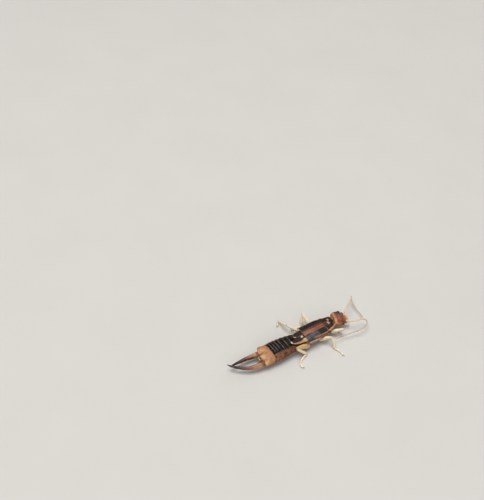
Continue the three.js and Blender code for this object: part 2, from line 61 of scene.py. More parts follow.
CENTRE = np.array([-0.066, 2.714, 0.0])
RING_ENDS = [2.25, 3.3, 4.25, 5.2, 6.25, 7.28, 8.0, 8.6, 9.14, 9.7]
HIND_BODY = [[2.2, 1.36, 1.36, 0.76, 0.70], [3.4, 1.62, 1.38, 0.78, 0.74], [4.6, 1.82, 1.42, 0.77, 0.78],
             [5.7, 1.93, 1.47, 0.95, 0.82], [7.2, 2.03, 1.52, 1.04, 0.86], [8.7, 2.11, 1.53, 1.01, 0.86], [10.0, 2.08, 1.51, 0.95, 0.81]]
LAST_RING = dict(front=9.7, rear=11.86, half=2.14, mid=1.5, up=0.9, down=0.7, swing=0.2)
BEND = dict(body=0.14, end=0.1)
PRONOTUM = dict(front=-4.96, rear=-2.58, half_front=1.14, half_rear=1.86, top=2.66, turn=4, middle=0.1)
TEGMEN = dict(front=-2.46, rear=2.4, half=2.12, top=2.9, drop=1.14)
WING_TIP = dict(start=1.9, left=4.3, right=5.5, half=1.38, top=2.76, drop=0.34)
HEAD = dict(at=(0.56, -5.17, 2.04), yaw=-12, pitch=8, roll=-9)
HEAD_ROWS = [[0.0, 0.94, 0.02, 0.4, 0.42], [0.25, 1.22, 0.03, 0.5, 0.5], [0.75, 1.46, 0.04, 0.6, 0.56], [1.3, 1.53, 0.04, 0.62, 0.58],
             [1.85, 1.45, 0.02, 0.58, 0.56], [2.3, 1.27, -0.02, 0.48, 0.5], [2.7, 0.96, -0.06, 0.36, 0.42], [3.0, 0.64, -0.1, 0.24, 0.32]]
EYE = dict(side=1.34, ahead=1.88, up=0.12, r=(0.24, 0.4, 0.29))
ANTENNA_FOOT = (0.82, 2.56, 0.12)
ANTENNAE = {
    "right": [[-1.3, -7.95, 2.08], [-1.88, -8.35, 2.2], [-2.12, -9.5, 2.12], [-2.3, -10.75, 1.98], [-2.95, -11.2, 1.8],
              [-3.62, -10.4, 1.6], [-3.85, -9.1, 1.45], [-3.54, -7.05, 1.3], [-3.26, -5.5, 1.2], [-3.08, -3.55, 1.1]],
    "left": [[0.98, -8.7, 2.12], [1.38, -9.4, 2.3], [2.1, -10.65, 2.4], [2.95, -12.0, 2.3], [3.6, -12.62, 1.75],
             [3.3, -12.5, 1.2], [2.5, -12.2, 1.0], [0.95, -11.92, 0.9], [-1.2, -11.85, 0.8]],
}
FORCEPS = {
    "right": [[-1.1, 11.75, 1.4], [-1.08, 12.6, 1.35], [-0.86, 13.7, 1.3], [-0.6, 14.75, 1.26], [-0.2, 15.6, 1.27],
              [0.34, 16.4, 1.33], [0.93, 17.14, 1.39], [1.5, 17.72, 1.43], [2.1, 18.18, 1.44]],
    "left": [[1.16, 11.6, 1.42], [1.34, 12.75, 1.36], [1.48, 13.75, 1.3], [1.58, 14.75, 1.26], [1.6, 15.7, 1.22],
             [1.62, 16.55, 1.2], [1.6, 17.2, 1.18], [1.46, 17.82, 1.16]],
}
ARM = dict(root=0.58, middle=0.38, tip=0.13, tooth=0.62)
LEGS = {
    "foreleg_right": dict(path=[[-0.72, -3.5, 0.72], [-1.16, -3.72, 1.0], [-2.38, -5.78, 1.92], [-1.44, -5.53, 0.42]],
                          foot=[[-1.27, -6.0, 0.23], [-1.12, -6.42, 0.21], [-1.0, -6.76, 0.22]], femur=0.53),
    "foreleg_left": dict(path=[[0.76, -3.5, 0.72], [1.2, -3.66, 0.92], [1.62, -5.85, 1.45], [1.6, -7.1, 0.42]],
                         foot=[[1.62, -7.75, 0.23], [1.55, -8.3, 0.21], [1.5, -8.75, 0.22]], femur=0.45),
    "midleg_right": dict(path=[[-0.8, -0.5, 0.68], [-1.38, -0.66, 0.86], [-3.06, -2.3, 2.3], [-4.3, -2.25, 0.46]],
                         foot=[[-5.05, -2.68, 0.24], [-5.75, -2.84, 0.21], [-6.3, -2.82, 0.22]], femur=0.44),
    "midleg_left": dict(path=[[0.8, -0.82, 0.68], [1.5, -1.12, 0.88], [4.44, -0.78, 2.45], [3.34, -0.02, 0.46]],
                        foot=[[3.42, 0.45, 0.24], [3.5, 1.35, 0.21], [3.52, 2.05, 0.22]], femur=0.48),
    "hindleg_right": dict(path=[[-0.82, 1.35, 0.68], [-1.62, 1.75, 0.8], [-2.12, 5.55, 2.86], [-2.72, 3.26, 0.48]],
                          foot=[[-3.25, 4.75, 0.24], [-4.2, 5.66, 0.21], [-4.86, 5.66, 0.22]], femur=0.54),
    "hindleg_left": dict(path=[[0.8, 0.85, 0.68], [1.42, 1.2, 0.86], [3.9, 3.2, 1.8], [6.45, 3.2, 0.46]],
                         foot=[[6.34, 3.42, 0.26], [6.02, 3.66, 0.21], [5.72, 3.88, 0.22]], femur=0.46),
}

# ---------------------------------------------------------------- numbers


def A(*v):
    return np.array(v, float)


def unit(v):
    return v / np.maximum(np.linalg.norm(v, axis=-1, keepdims=True), 1e-9)


def step(a, b, x):
    t = np.clip((np.asarray(x, float) - a) / (b - a), 0, 1)
    return t * t * (3 - 2 * t)


def bump(x, c, w):
    return np.exp(-(((x - c) / w) ** 2))


def spow(v, e):
    return np.sign(v) * np.abs(v) ** e


def lerp(a, b, t):
    return a + (b - a) * t


def rows(table, key):
    """The table's columns at each key, on a smooth curve through its rows."""
    T = np.array(table, float)
    key = np.atleast_1d(np.asarray(key, float))
    i = np.clip(np.searchsorted(T[:, 0], key, side="right") - 1, 0, len(T) - 2)
    a, b, c, d = T[np.maximum(i - 1, 0)], T[i], T[i + 1], T[np.minimum(i + 2, len(T) - 1)]
    t = np.clip((key - b[:, 0]) / (c[:, 0] - b[:, 0]), 0, 1)[:, None]
    m0, m1 = (c - a) / 2, (d - b) / 2
    return (b + t * (m0 + t * (3 * (c - b) - 2 * m0 - m1 + t * (2 * (b - c) + m0 + m1))))[:, 1:]


def curve(points, fine=60):
    """Centripetal curve through points: dense places and their share of the length."""
    p = np.array(points, float)
    e = np.vstack([2 * p[0] - p[1], p, 2 * p[-1] - p[-2]])
    out = []
    for i in range(len(p) - 1):
        p0, p1, p2, p3 = e[i:i + 4]
        d0, d1, d2 = [max(np.linalg.norm(b - a) ** 0.5, 1e-4) for a, b in ((p0, p1), (p1, p2), (p2, p3))]
        t1 = ((p1 - p0) / d0 - (p2 - p0) / (d0 + d1) + (p2 - p1) / d1) * d1
        t2 = ((p2 - p1) / d1 - (p3 - p1) / (d1 + d2) + (p3 - p2) / d2) * d1
        t = np.linspace(0, 1, fine, endpoint=False)[:, None]
        out.append(p1 + t * t1 + t * t * (-3 * p1 + 3 * p2 - 2 * t1 - t2) + t ** 3 * (2 * p1 - 2 * p2 + t1 + t2))
    c = np.vstack([*out, p[-1:]])
    s = np.concatenate([[0], np.cumsum(np.linalg.norm(np.diff(c, axis=0), axis=1))])
    return c, s


def along(c, s, t):
    """Places at shares t of the curve's length; past its ends they run on straight."""
    k = np.asarray(t, float) * s[-1]
    p = np.stack([np.interp(k, s, c[:, j]) for j in range(3)], -1)
    p += np.minimum(k, 0)[:, None] * unit(c[1] - c[0]) + np.maximum(k - s[-1], 0)[:, None] * unit(c[-1] - c[-2])
    return p


def carried(c, start):
    """Directions across a curve that turn with it and don't twist."""
    d = unit(np.gradient(c, axis=0))
    u = [unit(start - (start @ d[0]) * d[0])]
    for k in range(1, len(c)):
        v = u[-1] - (u[-1] @ d[k]) * d[k]
        u.append(unit(v))
    u = np.array(u)
    return d, u, np.cross(d, u)


def stations(n, cap0, cap1, k=6):
    """Shares 0..1 along a piece, with the factor that rounds its ends off."""
    a = np.linspace(0.06, np.pi / 2, k)
    mid = np.linspace(cap0, 1 - cap1, n + 2)[1:-1]
    s = np.concatenate([cap0 * (1 - np.cos(a)), mid, 1 - cap1 * (1 - np.cos(a[::-1]))])
    return s, np.concatenate([np.sin(a), np.ones(n), np.sin(a[::-1])])


# ---------------------------------------------------------------- mesh making

FIELDS = ("a", "b", "c", "d")


class Form:
    """Vertices with four surface numbers each, and faces with a material number."""

    def __init__(self):
        self.v, self.q, self.t, self.qm, self.tm, self.n = [], [], [], [], [], 0
        self.field = {k: [] for k in FIELDS}

    def add(self, pts, quads=None, tris=None, mat=0, turn=True, **fields):
        pts = np.asarray(pts, float)
        shape = pts.shape[:-1]
        pts = pts.reshape(-1, 3)
        quads = np.zeros((0, 4), int) if quads is None else np.asarray(quads)
        tris = np.zeros((0, 3), int) if tris is None else np.asarray(tris)
        if turn:
            o = pts.mean(0)
            P = pts - o
            vol = 0.0
            for f, trio in ((quads, ((0, 1, 2), (0, 2, 3))), (tris, ((0, 1, 2),))):
                for i, j, k in trio:
                    if len(f):
                        vol += np.einsum("ij,ij->", P[f[:, i]], np.cross(P[f[:, j]], P[f[:, k]]))
            if vol < 0:
                quads, tris = quads[:, ::-1], tris[:, ::-1]
        self.v.append(pts)
        self.q.append(quads + self.n)
        self.t.append(tris + self.n)
        self.qm.append(np.full(len(quads), mat))
        self.tm.append(np.full(len(tris), mat))
        for k in FIELDS:
            x = fields.get(k, 0.0)
            x = np.broadcast_to(np.asarray(x, float), shape).reshape(-1) if np.shape(x) != (len(pts),) else np.asarray(x, float)
            self.field[k].append(x)
        self.n += len(pts)

    def loft(self, P, caps=(True, True), mat=0, **fields):
        """A closed skin over rings P[row, column], fanned shut at its ends."""
        R, C = P.shape[:2]
        i, j = np.arange(R - 1)[:, None] * C, np.arange(C)[None, :]
        k = (j + 1) % C
        quads = np.stack([i + j, i + k, i + C + k, i + C + j], -1).reshape(-1, 4)
        pts = [P.reshape(-1, 3)]
        full = {f: [np.broadcast_to(np.asarray(x, float), (R, C)).reshape(-1)] for f, x in fields.items()}
        tris, n = [], R * C
        j = np.arange(C)
        for on, r in ((caps[0], 0), (caps[1], R - 1)):
            if on:
                pts.append(P[r].mean(0)[None])
                for f in full:
                    full[f].append([full[f][0][r * C:(r + 1) * C].mean()])
                tri = np.stack([r * C + (j + 1) % C, r * C + j, np.full(C, n)], -1)
                tris.append(tri if r == 0 else tri[:, ::-1])
                n += 1
        self.add(np.vstack(pts), quads, np.vstack(tris) if tris else None, mat, **{f: np.concatenate(x) for f, x in full.items()})
        return P

    def shell(self, P, thick, inside, mat=0, lip=0.4, **fields):
        """A thin plate: P is its outer face, inside a place on its inner side."""
        R, C = P.shape[:2]
        N = unit(np.cross(np.gradient(P, axis=0), np.gradient(P, axis=1)))
        if np.sum(N * (P - inside)) < 0:
            N = -N
        th = np.broadcast_to(np.asarray(thick, float), (R, C))[..., None]
        I = P - N * th
        idx = np.arange(R * C).reshape(R, C)
        loop = np.concatenate([idx[0, :-1], idx[:-1, -1], idx[-1, :0:-1], idx[:0:-1, 0]])
        rr, cc = loop // C, loop % C
        out = np.zeros((len(loop), 3))
        for sel, dr, dc in ((rr == 0, 1, 0), (rr == R - 1, -1, 0), (cc == 0, 0, 1), (cc == C - 1, 0, -1)):
            out[sel] += unit(P[rr[sel], cc[sel]] - P[rr[sel] + dr, cc[sel] + dc])
        mid = (P[rr, cc] + I[rr, cc]) / 2 + unit(out) * th[rr, cc] * lip
        q = np.stack([idx[:-1, :-1], idx[:-1, 1:], idx[1:, 1:], idx[1:, :-1]], -1).reshape(-1, 4)
        n = R * C
        m = 2 * n + np.arange(len(loop))
        m2, l2 = np.roll(m, -1), np.roll(loop, -1)
        quads = np.vstack([q, q[:, ::-1] + n, np.stack([l2, loop, m, m2], -1), np.stack([m2, m, loop + n, l2 + n], -1)])
        full = {}
        for f, x in fields.items():
            x = np.broadcast_to(np.asarray(x, float), (R, C)).reshape(-1)
            full[f] = np.concatenate([x, x, x[loop]])
        self.add(np.vstack([P.reshape(-1, 3), I.reshape(-1, 3), mid]), quads, None, mat, **full)
        return P, N

    def hairs(self, base, way, length, radius, sag, mat=0):
        """Thin bent bristles of three sides."""
        if not len(base):
            return
        way = unit(way)
        n = len(base)
        p = unit(np.cross(way, rng.normal(size=(n, 3))))
        w = np.cross(way, p)
        length, radius = np.broadcast_to(length, n)[:, None], np.broadcast_to(radius, n)[:, None]
        sag = np.broadcast_to(sag, (n, 3))
        rings = []
        for share, thin in ((-0.06, 1.0), (0.5, 0.7)):
            c = base + way * length * share + sag * length * share ** 2
            for k in range(3):
                a = 2 * math.pi * k / 3
                rings.append(c + (p * math.cos(a) + w * math.sin(a)) * radius * thin)
        tip = base + way * length + sag * length
        pts = np.stack([*rings, tip], 1)
        o = np.arange(n)[:, None] * 7
        quads = np.concatenate([o + A(0, 1, 4, 3), o + A(1, 2, 5, 4), o + A(2, 0, 3, 5)]).astype(int)
        tris = np.concatenate([o + A(3, 4, 6), o + A(4, 5, 6), o + A(5, 3, 6), o + A(2, 1, 0)]).astype(int)
        self.add(pts.reshape(-1, 3), quads, tris, mat, turn=True)


def object_from(form, name, materials, nodes=()):
    v = (np.vstack(form.v) - CENTRE) * 0.001
    q, t = np.vstack(form.q), np.vstack(form.t)
    qm, tm = np.concatenate(form.qm), np.concatenate(form.tm)
    me = bpy.data.meshes.new(name)
    me.vertices.add(len(v))
    me.vertices.foreach_set("co", v.astype(np.float32).ravel())
    me.loops.add(q.size + t.size)
    me.loops.foreach_set("vertex_index", np.concatenate([q.ravel(), t.ravel()]).astype(np.int32))
    me.polygons.add(len(q) + len(t))
    start = np.concatenate([np.arange(len(q)) * 4, q.size + np.arange(len(t)) * 3])
    me.polygons.foreach_set("loop_start", start.astype(np.int32))
    me.polygons.foreach_set("material_index", np.concatenate([qm, tm]).astype(np.int32))
    me.polygons.foreach_set("use_smooth", np.ones(len(start), bool))
    for m in materials:
        me.materials.append(m)
    mm = me.attributes.new("mm", "FLOAT_VECTOR", "POINT")
    mm.data.foreach_set("vector", np.vstack(form.v).astype(np.float32).ravel())
    for k in FIELDS:
        f = me.attributes.new(k, "FLOAT", "POINT")
        f.data.foreach_set("value", np.concatenate(form.field[k]).astype(np.float32))
    me.update(calc_edges=True)
    me.validate()
    o = bpy.data.objects.new(name, me)
    bpy.context.scene.collection.objects.link(o)
    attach(o, "root")
    if nodes:
        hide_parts(*nodes)
    return o


def scatter(P, N, count, keep=None):
    """Random places on a grid of surface points, with normal and the direction down its rows."""
    a, b, d = P[:-1, :-1], P[1:, :-1], P[:-1, 1:]
    area = np.linalg.norm(np.cross(b - a, d - a), axis=-1)
    if keep is not None:
        area = area * keep[:-1, :-1]
    if area.sum() <= 0:
        return np.zeros((0, 3)), np.zeros((0, 3)), np.zeros((0, 3))
    pick = rng.choice(area.size, count, p=(area / area.sum()).ravel())
    i, j = pick // area.shape[1], pick % area.shape[1]
    u, v = rng.random(count)[:, None], rng.random(count)[:, None]
    at = a[i, j] + u * (b - a)[i, j] + v * (d - a)[i, j]
    return at, N[i, j], unit((b - a)[i, j])


def grid_normals(P, wrap=False):
    if wrap:
        Q = np.concatenate([P[:, -1:], P, P[:, :1]], 1)
        N = unit(np.cross(np.gradient(Q, axis=0), np.gradient(Q, axis=1)))[:, 1:-1]
    else:
        N = unit(np.cross(np.gradient(P, axis=0), np.gradient(P, axis=1)))
    c = P.mean(1, keepdims=True)
    return N if np.sum(N * (P - c)) > 0 else -N


# ---------------------------------------------------------------- materials


def colour(r, g, b):
    return tuple((x / 255 / 12.92 if x / 255 <= 0.04045 else ((x / 255 + 0.055) / 1.055) ** 2.4) for x in (r, g, b)) + (1.0,)


class Look:
    """A small way of writing a material's nodes."""

    def __init__(self, name):
        self.mat = bpy.data.materials.new(name)
        self.mat.use_nodes = True
        self.nt = self.mat.node_tree
        self.nt.nodes.clear()
        self.seen = {}

    def node(self, kind, **props):
        n = self.nt.nodes.new(kind)
        for k, v in props.items():
            setattr(n, k, v)
        return n

    def put(self, socket, value):
        if isinstance(value, bpy.types.NodeSocket):
            self.nt.links.new(value, socket)
        else:
            socket.default_value = value

    def field(self, name):
        if name not in self.seen:
            n = self.node("ShaderNodeAttribute", attribute_name=name)
            self.seen[name] = n.outputs["Vector"] if name == "mm" else n.outputs["Fac"]
        return self.seen[name]

    def math(self, op, a, b=0.0, clamp=False):
        n = self.node("ShaderNodeMath", operation=op, use_clamp=clamp)
        self.put(n.inputs[0], a)
        self.put(n.inputs[1], b)
        return n.outputs[0]

    def stretched(self, sx, sy, sz):
        n = self.node("ShaderNodeVectorMath", operation="MULTIPLY")
        self.put(n.inputs[0], self.field("mm"))
        n.inputs[1].default_value = (sx, sy, sz)
        return n.outputs[0]

    def noise(self, scale, detail=3.0, rough=0.55, vec=None, warp=0.0):
        n = self.node("ShaderNodeTexNoise")
        self.put(n.inputs["Vector"], vec if vec is not None else self.field("mm"))
        n.inputs["Scale"].default_value = scale
        n.inputs["Detail"].default_value = detail
        n.inputs["Roughness"].default_value = rough
        n.inputs["Distortion"].default_value = warp
        return n.outputs["Fac"]

    def cells(self, scale, vec=None, feature="F1", random=1.0):
        n = self.node("ShaderNodeTexVoronoi", feature=feature)
        self.put(n.inputs["Vector"], vec if vec is not None else self.field("mm"))
        n.inputs["Scale"].default_value = scale
        n.inputs["Randomness"].default_value = random
        return n.outputs["Distance"]

    def step(self, a, b, x, low=0.0, high=1.0):
        n = self.node("ShaderNodeMapRange", interpolation_type="SMOOTHSTEP")
        self.put(n.inputs["Value"], x)
        if a <= b:
            n.inputs["From Min"].default_value, n.inputs["From Max"].default_value = a, b
            n.inputs["To Min"].default_value, n.inputs["To Max"].default_value = low, high
        else:
            n.inputs["From Min"].default_value, n.inputs["From Max"].default_value = b, a
            n.inputs["To Min"].default_value, n.inputs["To Max"].default_value = high, low
        return n.outputs["Result"]

    def band(self, x, c, w, soft=0.5):
        """1 inside c-w..c+w, falling off softly."""
        d = self.math("ABSOLUTE", self.math("SUBTRACT", x, c))
        return self.step(w * (1 + soft), w * (1 - soft), d)

    def mix(self, fac, a, b, blend="MIX"):
        n = self.node("ShaderNodeMix", data_type="RGBA", blend_type=blend, clamp_factor=True)
        self.put(n.inputs[0], fac)
        self.put(n.inputs[6], a)
        self.put(n.inputs[7], b)
        return n.outputs[2]

    def jitter(self, x, amount, scale=1.2, detail=3.0):
        """A field pushed about by noise, so that an edge isn't drawn with a ruler."""
        return self.math("ADD", x, self.math("MULTIPLY", self.math("SUBTRACT", self.noise(scale, detail), 0.5), amount))

    def mottled(self, c, amount=0.25, scale=2.2, fine=14.0):
        """Light and dark patches of two sizes over a colour."""
        k = self.math("ADD", self.math("MULTIPLY", self.noise(scale, 4.0, 0.6), 0.62), self.math("MULTIPLY", self.noise(fine, 3.0, 0.6), 0.38))
        k = self.step(0.3, 0.7, k)
        c = self.mix(self.math("MULTIPLY", k, amount), c, colour(18, 9, 6), "MULTIPLY")
        n = self.node("ShaderNodeVectorMath", operation="MULTIPLY")
        self.put(n.inputs[0], c)
        n.inputs[1].default_value = (1.45, 1.4, 1.34)
        return self.mix(self.math("MULTIPLY", self.math("SUBTRACT", 1.0, k), min(1.0, amount * 2.2)), c, n.outputs[0])

    def relief(self, height, distance, strength=1.0, under=None):
        n = self.node("ShaderNodeBump")
        n.inputs["Strength"].default_value = strength
        n.inputs["Distance"].default_value = distance * 0.001
        self.put(n.inputs["Height"], height)
        if under is not None:
            self.put(n.inputs["Normal"], under)
        return n.outputs["Normal"]

    def done(self, base, rough, normal=None, coat=0.0, coat_rough=0.12, level=0.5, sheen=0.0, thin=0.0):
        p = self.node("ShaderNodeBsdfPrincipled")
        out = self.node("ShaderNodeOutputMaterial")
        self.put(p.inputs["Base Color"], base)
        self.put(p.inputs["Roughness"], rough)
        if normal is not None:
            self.put(p.inputs["Normal"], normal)
        p.inputs["Coat Weight"].default_value = coat
        p.inputs["Coat Roughness"].default_value = coat_rough
        p.inputs["Specular IOR Level"].default_value = level
        p.inputs["Sheen Weight"].default_value = sheen
        if thin:
            p.inputs["Subsurface Weight"].default_value = thin
            p.inputs["Subsurface Radius"].default_value = (1.0, 0.55, 0.25)
            p.inputs["Subsurface Scale"].default_value = 0.0002
        self.nt.links.new(p.outputs[0], out.inputs["Surface"])
        return self.mat


def skin_relief(L, pits=9.0, pit_depth=0.006, grain=40.0, grain_depth=0.0018, waves=None, wave_depth=0.004):
    """Fine punctures, grain and soft waviness of horn."""
    n = None
    if waves:
        n = L.relief(L.noise(waves, 3.0, 0.5), wave_depth)
    n = L.relief(L.noise(grain, 3.0, 0.6), grain_depth, under=n)
    if pits:
        n = L.relief(L.step(0.0, 0.34, L.cells(pits)), pit_depth, under=n)
    return n


def roughness(L, low, high, scale=5.0):
    return L.step(0.3, 0.7, L.noise(scale, 3.0, 0.6), low, high)


def head_look():
    L = Look("head_horn")
    side, ahead, suture, rise = (L.field(k) for k in FIELDS)
    far = L.math("ABSOLUTE", side)
    wob = L.jitter(ahead, 0.35, 1.6)
    line = L.math("ADD", wob, L.math("MULTIPLY", side, -0.08))
    c = L.mix(L.step(0.3, 0.8, wob), colour(164, 122, 80), colour(140, 76, 52))
    c = L.mix(L.math("MULTIPLY", L.math("MULTIPLY", L.step(1.0, 1.8, wob), L.step(1.35, 0.6, far)), L.step(-0.7, 0.3, L.jitter(side, 0.2), 0.3, 1.0)), c, colour(96, 44, 29))
    c = L.mix(L.math("MULTIPLY", L.math("MULTIPLY", L.band(line, 0.14, 0.1, 0.8), L.step(1.3, 0.9, far)), 0.7), c, colour(92, 54, 30))
    # pale band across the back of the crown: partly the head's paler tone, partly a painted highlight
    band = L.math("MULTIPLY", L.band(line, 0.46, 0.2, 0.7), L.step(1.4, 1.0, far))
    c = L.mix(L.math("MULTIPLY", band, 0.85), c, colour(192, 136, 102))
    middle = L.math("MULTIPLY", L.band(L.jitter(side, 0.2), -0.1, 0.45, 0.7), L.band(wob, 1.25, 0.3, 0.8))
    c = L.mix(L.math("MULTIPLY", middle, 0.65), c, colour(164, 88, 70))
    c = L.mix(L.math("MULTIPLY", L.math("MULTIPLY", L.step(0.98, 1.4, L.jitter(far, 0.25)), L.step(1.7, 1.1, ahead)), L.step(0.2, -0.6, side)), c, colour(152, 108, 66))
    # dark patches by the eyes are painted shade: one running forward from the left eye, one at the right eye
    painted_eye_shade = L.math("MULTIPLY", L.band(L.jitter(side, 0.2), 0.95, 0.42, 0.7), L.band(L.jitter(ahead, 0.2), 1.65, 0.78, 0.6))
    c = L.mix(L.math("MULTIPLY", painted_eye_shade, 0.85), c, colour(50, 21, 14))
    painted_eye_shade = L.math("MULTIPLY", L.band(side, -1.08, 0.2, 0.8), L.band(ahead, 1.9, 0.4, 0.7))
    c = L.mix(L.math("MULTIPLY", painted_eye_shade, 0.6), c, colour(60, 27, 19))
    c = L.mix(L.math("MULTIPLY", L.step(0.12, -0.5, rise), 0.85), c, colour(150, 112, 68))
    c = L.mix(L.step(2.3, 2.7, wob), c, colour(158, 92, 48))
    c = L.mix(L.math("MULTIPLY", L.step(0.25, 0.8, suture), 0.75), c, colour(58, 26, 16))
    c = L.mottled(c, 0.34, 2.4, 16.0)
    return L.done(c, roughness(L, 0.34, 0.5), skin_relief(L, 11.0, 0.004, 46.0, 0.0016, 3.0, 0.01), coat=0.08, coat_rough=0.22, level=0.34)


def eye_look():
    L = Look("eye_facets")
    c = L.mix(L.step(0.3, 0.7, L.noise(6.0)), colour(20, 12, 12), colour(40, 22, 20))
    n = L.relief(L.step(0.0, 0.6, L.cells(24.0, random=0.25)), 0.006)
    return L.done(c, roughness(L, 0.12, 0.22, 9.0), n, coat=0.5, coat_rough=0.06)


def pronotum_look():
    L = Look("neck_shield_horn")
    u, t, rim = L.field("a"), L.field("b"), L.field("c")
    far = L.math("ABSOLUTE", u)
    c = L.mix(L.step(0.4, 0.95, L.jitter(t, 0.3)), colour(26, 12, 9), colour(54, 31, 24))
    c = L.mix(L.math("MULTIPLY", L.step(0.42, 0.16, far), L.step(0.2, 0.5, t)), c, colour(84, 52, 38))
    c = L.mix(L.math("MULTIPLY", L.band(far, 0.42, 0.2, 0.6), L.step(0.36, 0.1, L.jitter(t, 0.15))), c, colour(30, 14, 8))
    corner = L.math("MULTIPLY", L.step(-0.3, -0.5, L.jitter(u, 0.16, 2.0)), L.step(0.34, 0.14, L.jitter(t, 0.14, 2.0)))
    c = L.mix(L.math("MULTIPLY", corner, 0.8), c, colour(112, 66, 36))
    # two pale spots on the tops of the shield's lobes are painted glints
    for cu, ct in ((0.42, 0.38), (-0.07, 0.52)):
        spot = L.math("MULTIPLY", L.band(L.jitter(u, 0.1, 3.0), cu, 0.17, 0.8), L.band(L.jitter(t, 0.1, 3.0), ct, 0.075, 0.8))
        c = L.mix(L.math("MULTIPLY", spot, 0.85), c, colour(204, 168, 148))
    c = L.mix(L.step(-0.74, -0.84, L.jitter(u, 0.1, 2.4)), c, colour(178, 132, 94))
    c = L.mix(L.step(0.86, 0.93, L.jitter(u, 0.06, 2.4)), c, colour(96, 64, 44))
    c = L.mix(L.math("MULTIPLY", L.step(0.1, 0.03, t), 0.8), c, colour(124, 76, 48))
    c = L.mix(L.math("MULTIPLY", L.step(0.95, 1.0, t), L.step(0.5, 0.1, L.jitter(u, 0.3, 2.0), 0.3, 0.65)), c, colour(162, 122, 106))
    c = L.mottled(c, 0.3, 2.8, 15.0)
    return L.done(c, roughness(L, 0.3, 0.46), skin_relief(L, 8.0, 0.005, 40.0, 0.002, 2.5, 0.01), coat=0.03, coat_rough=0.2, level=0.22)


def tegmen_look(side):
    L = Look(f"wing_case_{side}")
    u, t = L.field("a"), L.field("b")
    ju = L.jitter(u, 0.07, 1.4)
    jt = L.jitter(t, 0.2, 1.2)
    if side == "left":
        c = L.mix(L.step(0.3, 0.75, jt), colour(26, 11, 6), colour(22, 15, 12))
        place = L.math("ADD", ju, L.math("MULTIPLY", t, 0.06))
        streak = L.noise(5.0, 4.0, 0.6, vec=L.stretched(1.0, 0.12, 1.0))
        brown = L.mix(L.step(0.25, 0.8, jt), colour(118, 54, 37), colour(144, 92, 66))
        brown = L.mix(L.step(0.5, 0.7, streak), brown, colour(70, 32, 23))
        c = L.mix(L.step(0.38, 0.26, place), c, colour(72, 29, 21))
        c = L.mix(L.step(0.28, 0.12, place), c, brown)
        c = L.mix(L.math("MULTIPLY", L.step(0.1, 0.03, u), 0.35), c, colour(184, 134, 100))
        c = L.mix(L.math("MULTIPLY", L.step(0.955, 0.99, t), 0.55), c, colour(140, 108, 86))
    else:
        # the grey-blue towards the rear of the right wing case and the paler streaks over it are a painted sky
        # reflection; its front stays dark brown
        c = L.mix(L.step(0.3, 0.6, jt), colour(36, 19, 15), colour(60, 53, 56))
        c = L.mix(L.math("MULTIPLY", L.band(ju, 0.4, 0.24, 0.8), L.math("MULTIPLY", L.step(0.3, 0.6, jt), L.step(0.35, 0.6, L.noise(2.4, 3.0, vec=L.stretched(1.0, 0.4, 1.0))))), c, colour(98, 92, 96))
        c = L.mix(L.step(0.15, 0.05, ju), c, L.mix(L.step(0.2, 0.8, jt), colour(124, 70, 50), colour(156, 104, 76)))
        # a thin light dotted line beside the inner stripe is a painted highlight where the sheen begins
        c = L.mix(L.math("MULTIPLY", L.band(ju, 0.13, 0.022, 0.8), L.step(0.3, 0.6, L.noise(4.0), 0.1, 0.6)), c, colour(184, 146, 124))
    ahead = L.step(0.82, 0.52, jt)
    carina = L.math("MULTIPLY", L.band(ju, 0.68 if side == "right" else 0.72, 0.07, 0.6), ahead)
    c = L.mix(L.math("MULTIPLY", carina, 0.9 if side == "right" else 0.35), c, colour(158, 116, 86))
    side_tone = L.mix(ahead, colour(70, 58, 56), colour(128, 82, 54))
    c = L.mix(L.step(0.72, 0.79, ju), c, side_tone if side == "right" else colour(48, 28, 19))
    # the pale outer edge of the case; on the right case it brightens towards the rear into a painted highlight, while
    # the left keeps a plain brown edge
    pale_edge_and_highlight = L.mix(L.step(0.3, 0.6, jt), colour(132, 92, 64), colour(210, 172, 148))
    c = L.mix(L.step(0.86, 0.95, L.math("ADD", ju, L.math("MULTIPLY", t, 0.05))), c, pale_edge_and_highlight if side == "right" else colour(120, 88, 66))
    c = L.mottled(c, 0.32, 2.6, 13.0)
    grain = L.relief(L.noise(9.0, 4.0, 0.6, vec=L.stretched(1.0, 0.35, 1.0)), 0.012)
    n = L.relief(L.step(0.0, 0.4, L.cells(10.0)), 0.006, under=grain)
    n = L.relief(L.noise(46.0, 2.0, 0.6), 0.0018, under=n)
    return L.done(c, roughness(L, 0.34, 0.48), n, coat=0.05, coat_rough=0.24, level=0.36)


